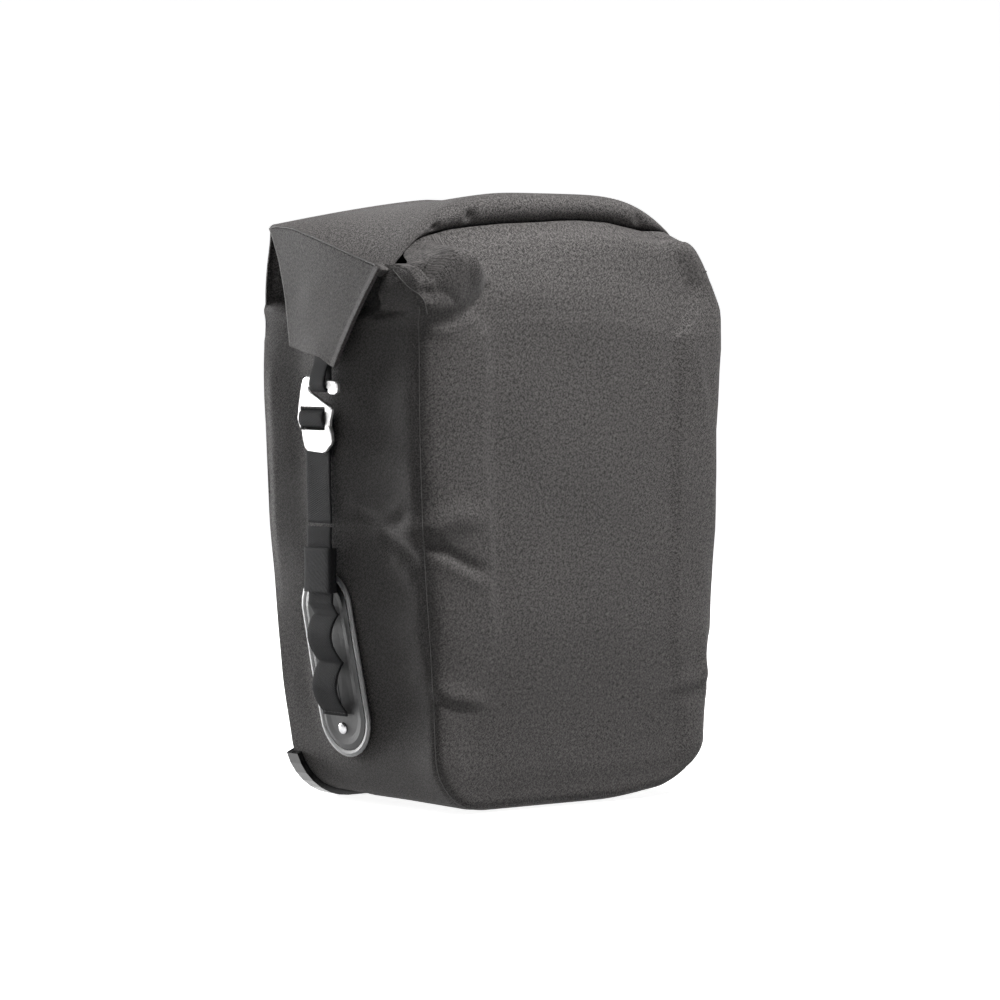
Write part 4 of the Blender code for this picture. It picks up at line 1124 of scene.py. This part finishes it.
for side in (-1, 1):
    label = NAMES[side]
    path = np.concatenate([catmull(UPPER_RISE, 6), catmull(UPPER_TURN, 4)])
    web = ribbon(path, STRAP_W, 1.35, STRAP_Y, WEBBING, upper_sway)
    obj = mirrored_mesh("strap_web_upper_" + label, web, side)
    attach(obj, "hook_" + label)
    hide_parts("strap_upper_" + label)
    web = ribbon(lower_strap_path(), STRAP_W, 1.45, STRAP_Y, WEBBING, lower_sway)
    obj = mirrored_mesh("strap_web_lower_" + label, web, side)
    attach(obj, "bag")
    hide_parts("strap_lower_" + label)
    rows = []
    for zz in STITCH_Z:
        face = float(half_width(zz)) + 5.1
        for k in range(7):
            y0 = STRAP_Y - 10.5 + k * 3.1
            rows.append(((side * face, y0, zz), (side * face, y0 + 2.2, zz)))
    threads = stitches("strap_stitching_" + label, rows)
    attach(threads, "bag")

    web = ribbon(catmull(CLOSURE_LOOP, 5), 15.0, 1.15, 8.0, WEBBING)
    obj = mirrored_mesh("loop_web_" + label, web, side)
    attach(obj, "roll_top")
    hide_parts("closure_loop_" + label)

    obj = mirrored_mesh("keeper_web_" + label, keeper_band(), side)
    add(obj, "BEVEL", width=0.0004, segments=2, limit_method="ANGLE")
    apply_all(obj)
    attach(obj, "keeper_" + label)
    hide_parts("keeper_" + label)

    paint(ALUMINIUM, "g_hook_" + label)
    paint(MOULDED, "oval_plate_" + label)
    paint(REFLECTIVE, "reflective_ribbon_" + label)
    paint(RACK, "rack_hook_" + label, "latch_" + label)
    paint(INSERT, "tube_insert_" + label)
    steel = ("rivet_", "guard_rivet_", "low_rail_screw_", "clamp_screw_", "latch_pin_")
    paint(STEEL, *(node + label for node in steel))

paint(GUARD, "edge_guard")
paint(RACK, "top_rail", "lower_rail", "anchor_slider", "anchor_hook")
paint(BOARD, "stiffener_board")
paint(WEBBING_EDGE, "pull_handle")
paint(STEEL, "anchor_screw", *(f"rail_screw_{k}" for k in (1, 2, 3, 4)))

# ------------------------------------------------------------------ floor, light and camera


FLOOR_GAP = 0.0004


def make_sweep():
    n = Nodes("studio_paper")
    coords = n.place()
    cloud = n.ramp(n.noise(coords, 3.0), 0.3, 0.7)
    n.set(base=n.mix(cloud, rgb(0.93, 0.93, 0.93), rgb(0.95, 0.95, 0.95)), rough=0.9)
    n.shader.inputs["Emission Color"].default_value = (1, 1, 1, 1)
    n.shader.inputs["Emission Strength"].default_value = 0.9
    wide = 96
    profile = [(r, 0.0) for r in np.linspace(0.05, 4.0, 12)]
    for k in range(1, 17):
        a = k / 16 * math.pi / 2
        profile.append((4.0 + 1.6 * math.sin(a), 1.6 * (1 - math.cos(a))))
    vertices = [(0, 0, -FLOOR_GAP)]
    for r, h in profile:
        for k in range(wide):
            a = 2 * math.pi * k / wide
            vertices.append((r * math.cos(a), r * math.sin(a), h - FLOOR_GAP))
    faces = [(0, 1 + k, 1 + (k + 1) % wide) for k in range(wide)]
    faces += [tuple(1 + i for i in f) for f in grid_faces(len(profile), wide, ring=True)]
    floor = mesh_from("studio_floor", vertices, faces, None, n.material)
    floor.visible_diffuse = False  # its bounce is kept off the fabric, as flags do in a studio
    return floor


def softbox(name, place, target, size, power):
    light = bpy.data.lights.new(name, "AREA")
    light.shape = "RECTANGLE"
    light.size, light.size_y = size
    light.energy = power
    obj = link(bpy.data.objects.new(name, light))
    obj.location = place
    obj.rotation_euler = (Vector(place) - Vector(target)).to_track_quat("Z", "Y").to_euler()
    obj.visible_camera = False
    return obj


make_sweep()
world = bpy.data.worlds.new("studio")
bpy.context.scene.world = world
world.use_nodes = True
tree = world.node_tree
background = tree.nodes["Background"]
background.inputs["Color"].default_value = (1, 1, 1, 1)
background.inputs["Strength"].default_value = 0.35
seen = tree.nodes.new("ShaderNodeLightPath")
mixed = tree.nodes.new("ShaderNodeMapRange")
mixed.inputs["To Min"].default_value = 0.05
mixed.inputs["To Max"].default_value = 1.05
tree.links.new(seen.outputs["Is Camera Ray"], mixed.inputs["Value"])
tree.links.new(mixed.outputs["Result"], background.inputs["Strength"])

AIM = (0.0, 0.0, 0.19)
softbox("top_light", (0.0, 0.3, 2.1), AIM, (0.7, 0.7), 9)
softbox("front_high", (0.3, -1.0, 1.9), AIM, (0.7, 0.7), 44)
softbox("rear_left", (-0.58, 2.05, 0.52), AIM, (0.5, 1.0), 46)
softbox("rear_left_high", (-0.9, 1.7, 1.2), AIM, (0.5, 0.6), 4)
softbox("right_fill", (2.2, 0.9, 0.9), AIM, (0.9, 1.2), 5)

camera_data = bpy.data.cameras.new("camera")
camera_data.lens = 150.95
camera_data.sensor_width = 36
camera_data.clip_end = 30
camera = link(bpy.data.objects.new("camera", camera_data))
camera.location = (-1.62587, -2.02536, 0.29273)
CAMERA_AIM = Vector((0.00155, -0.00125, 0.18387))
camera.rotation_euler = (camera.location - CAMERA_AIM).to_track_quat("Z", "Y").to_euler()
bpy.context.scene.camera = camera
bpy.context.scene.view_settings.view_transform = "Standard"
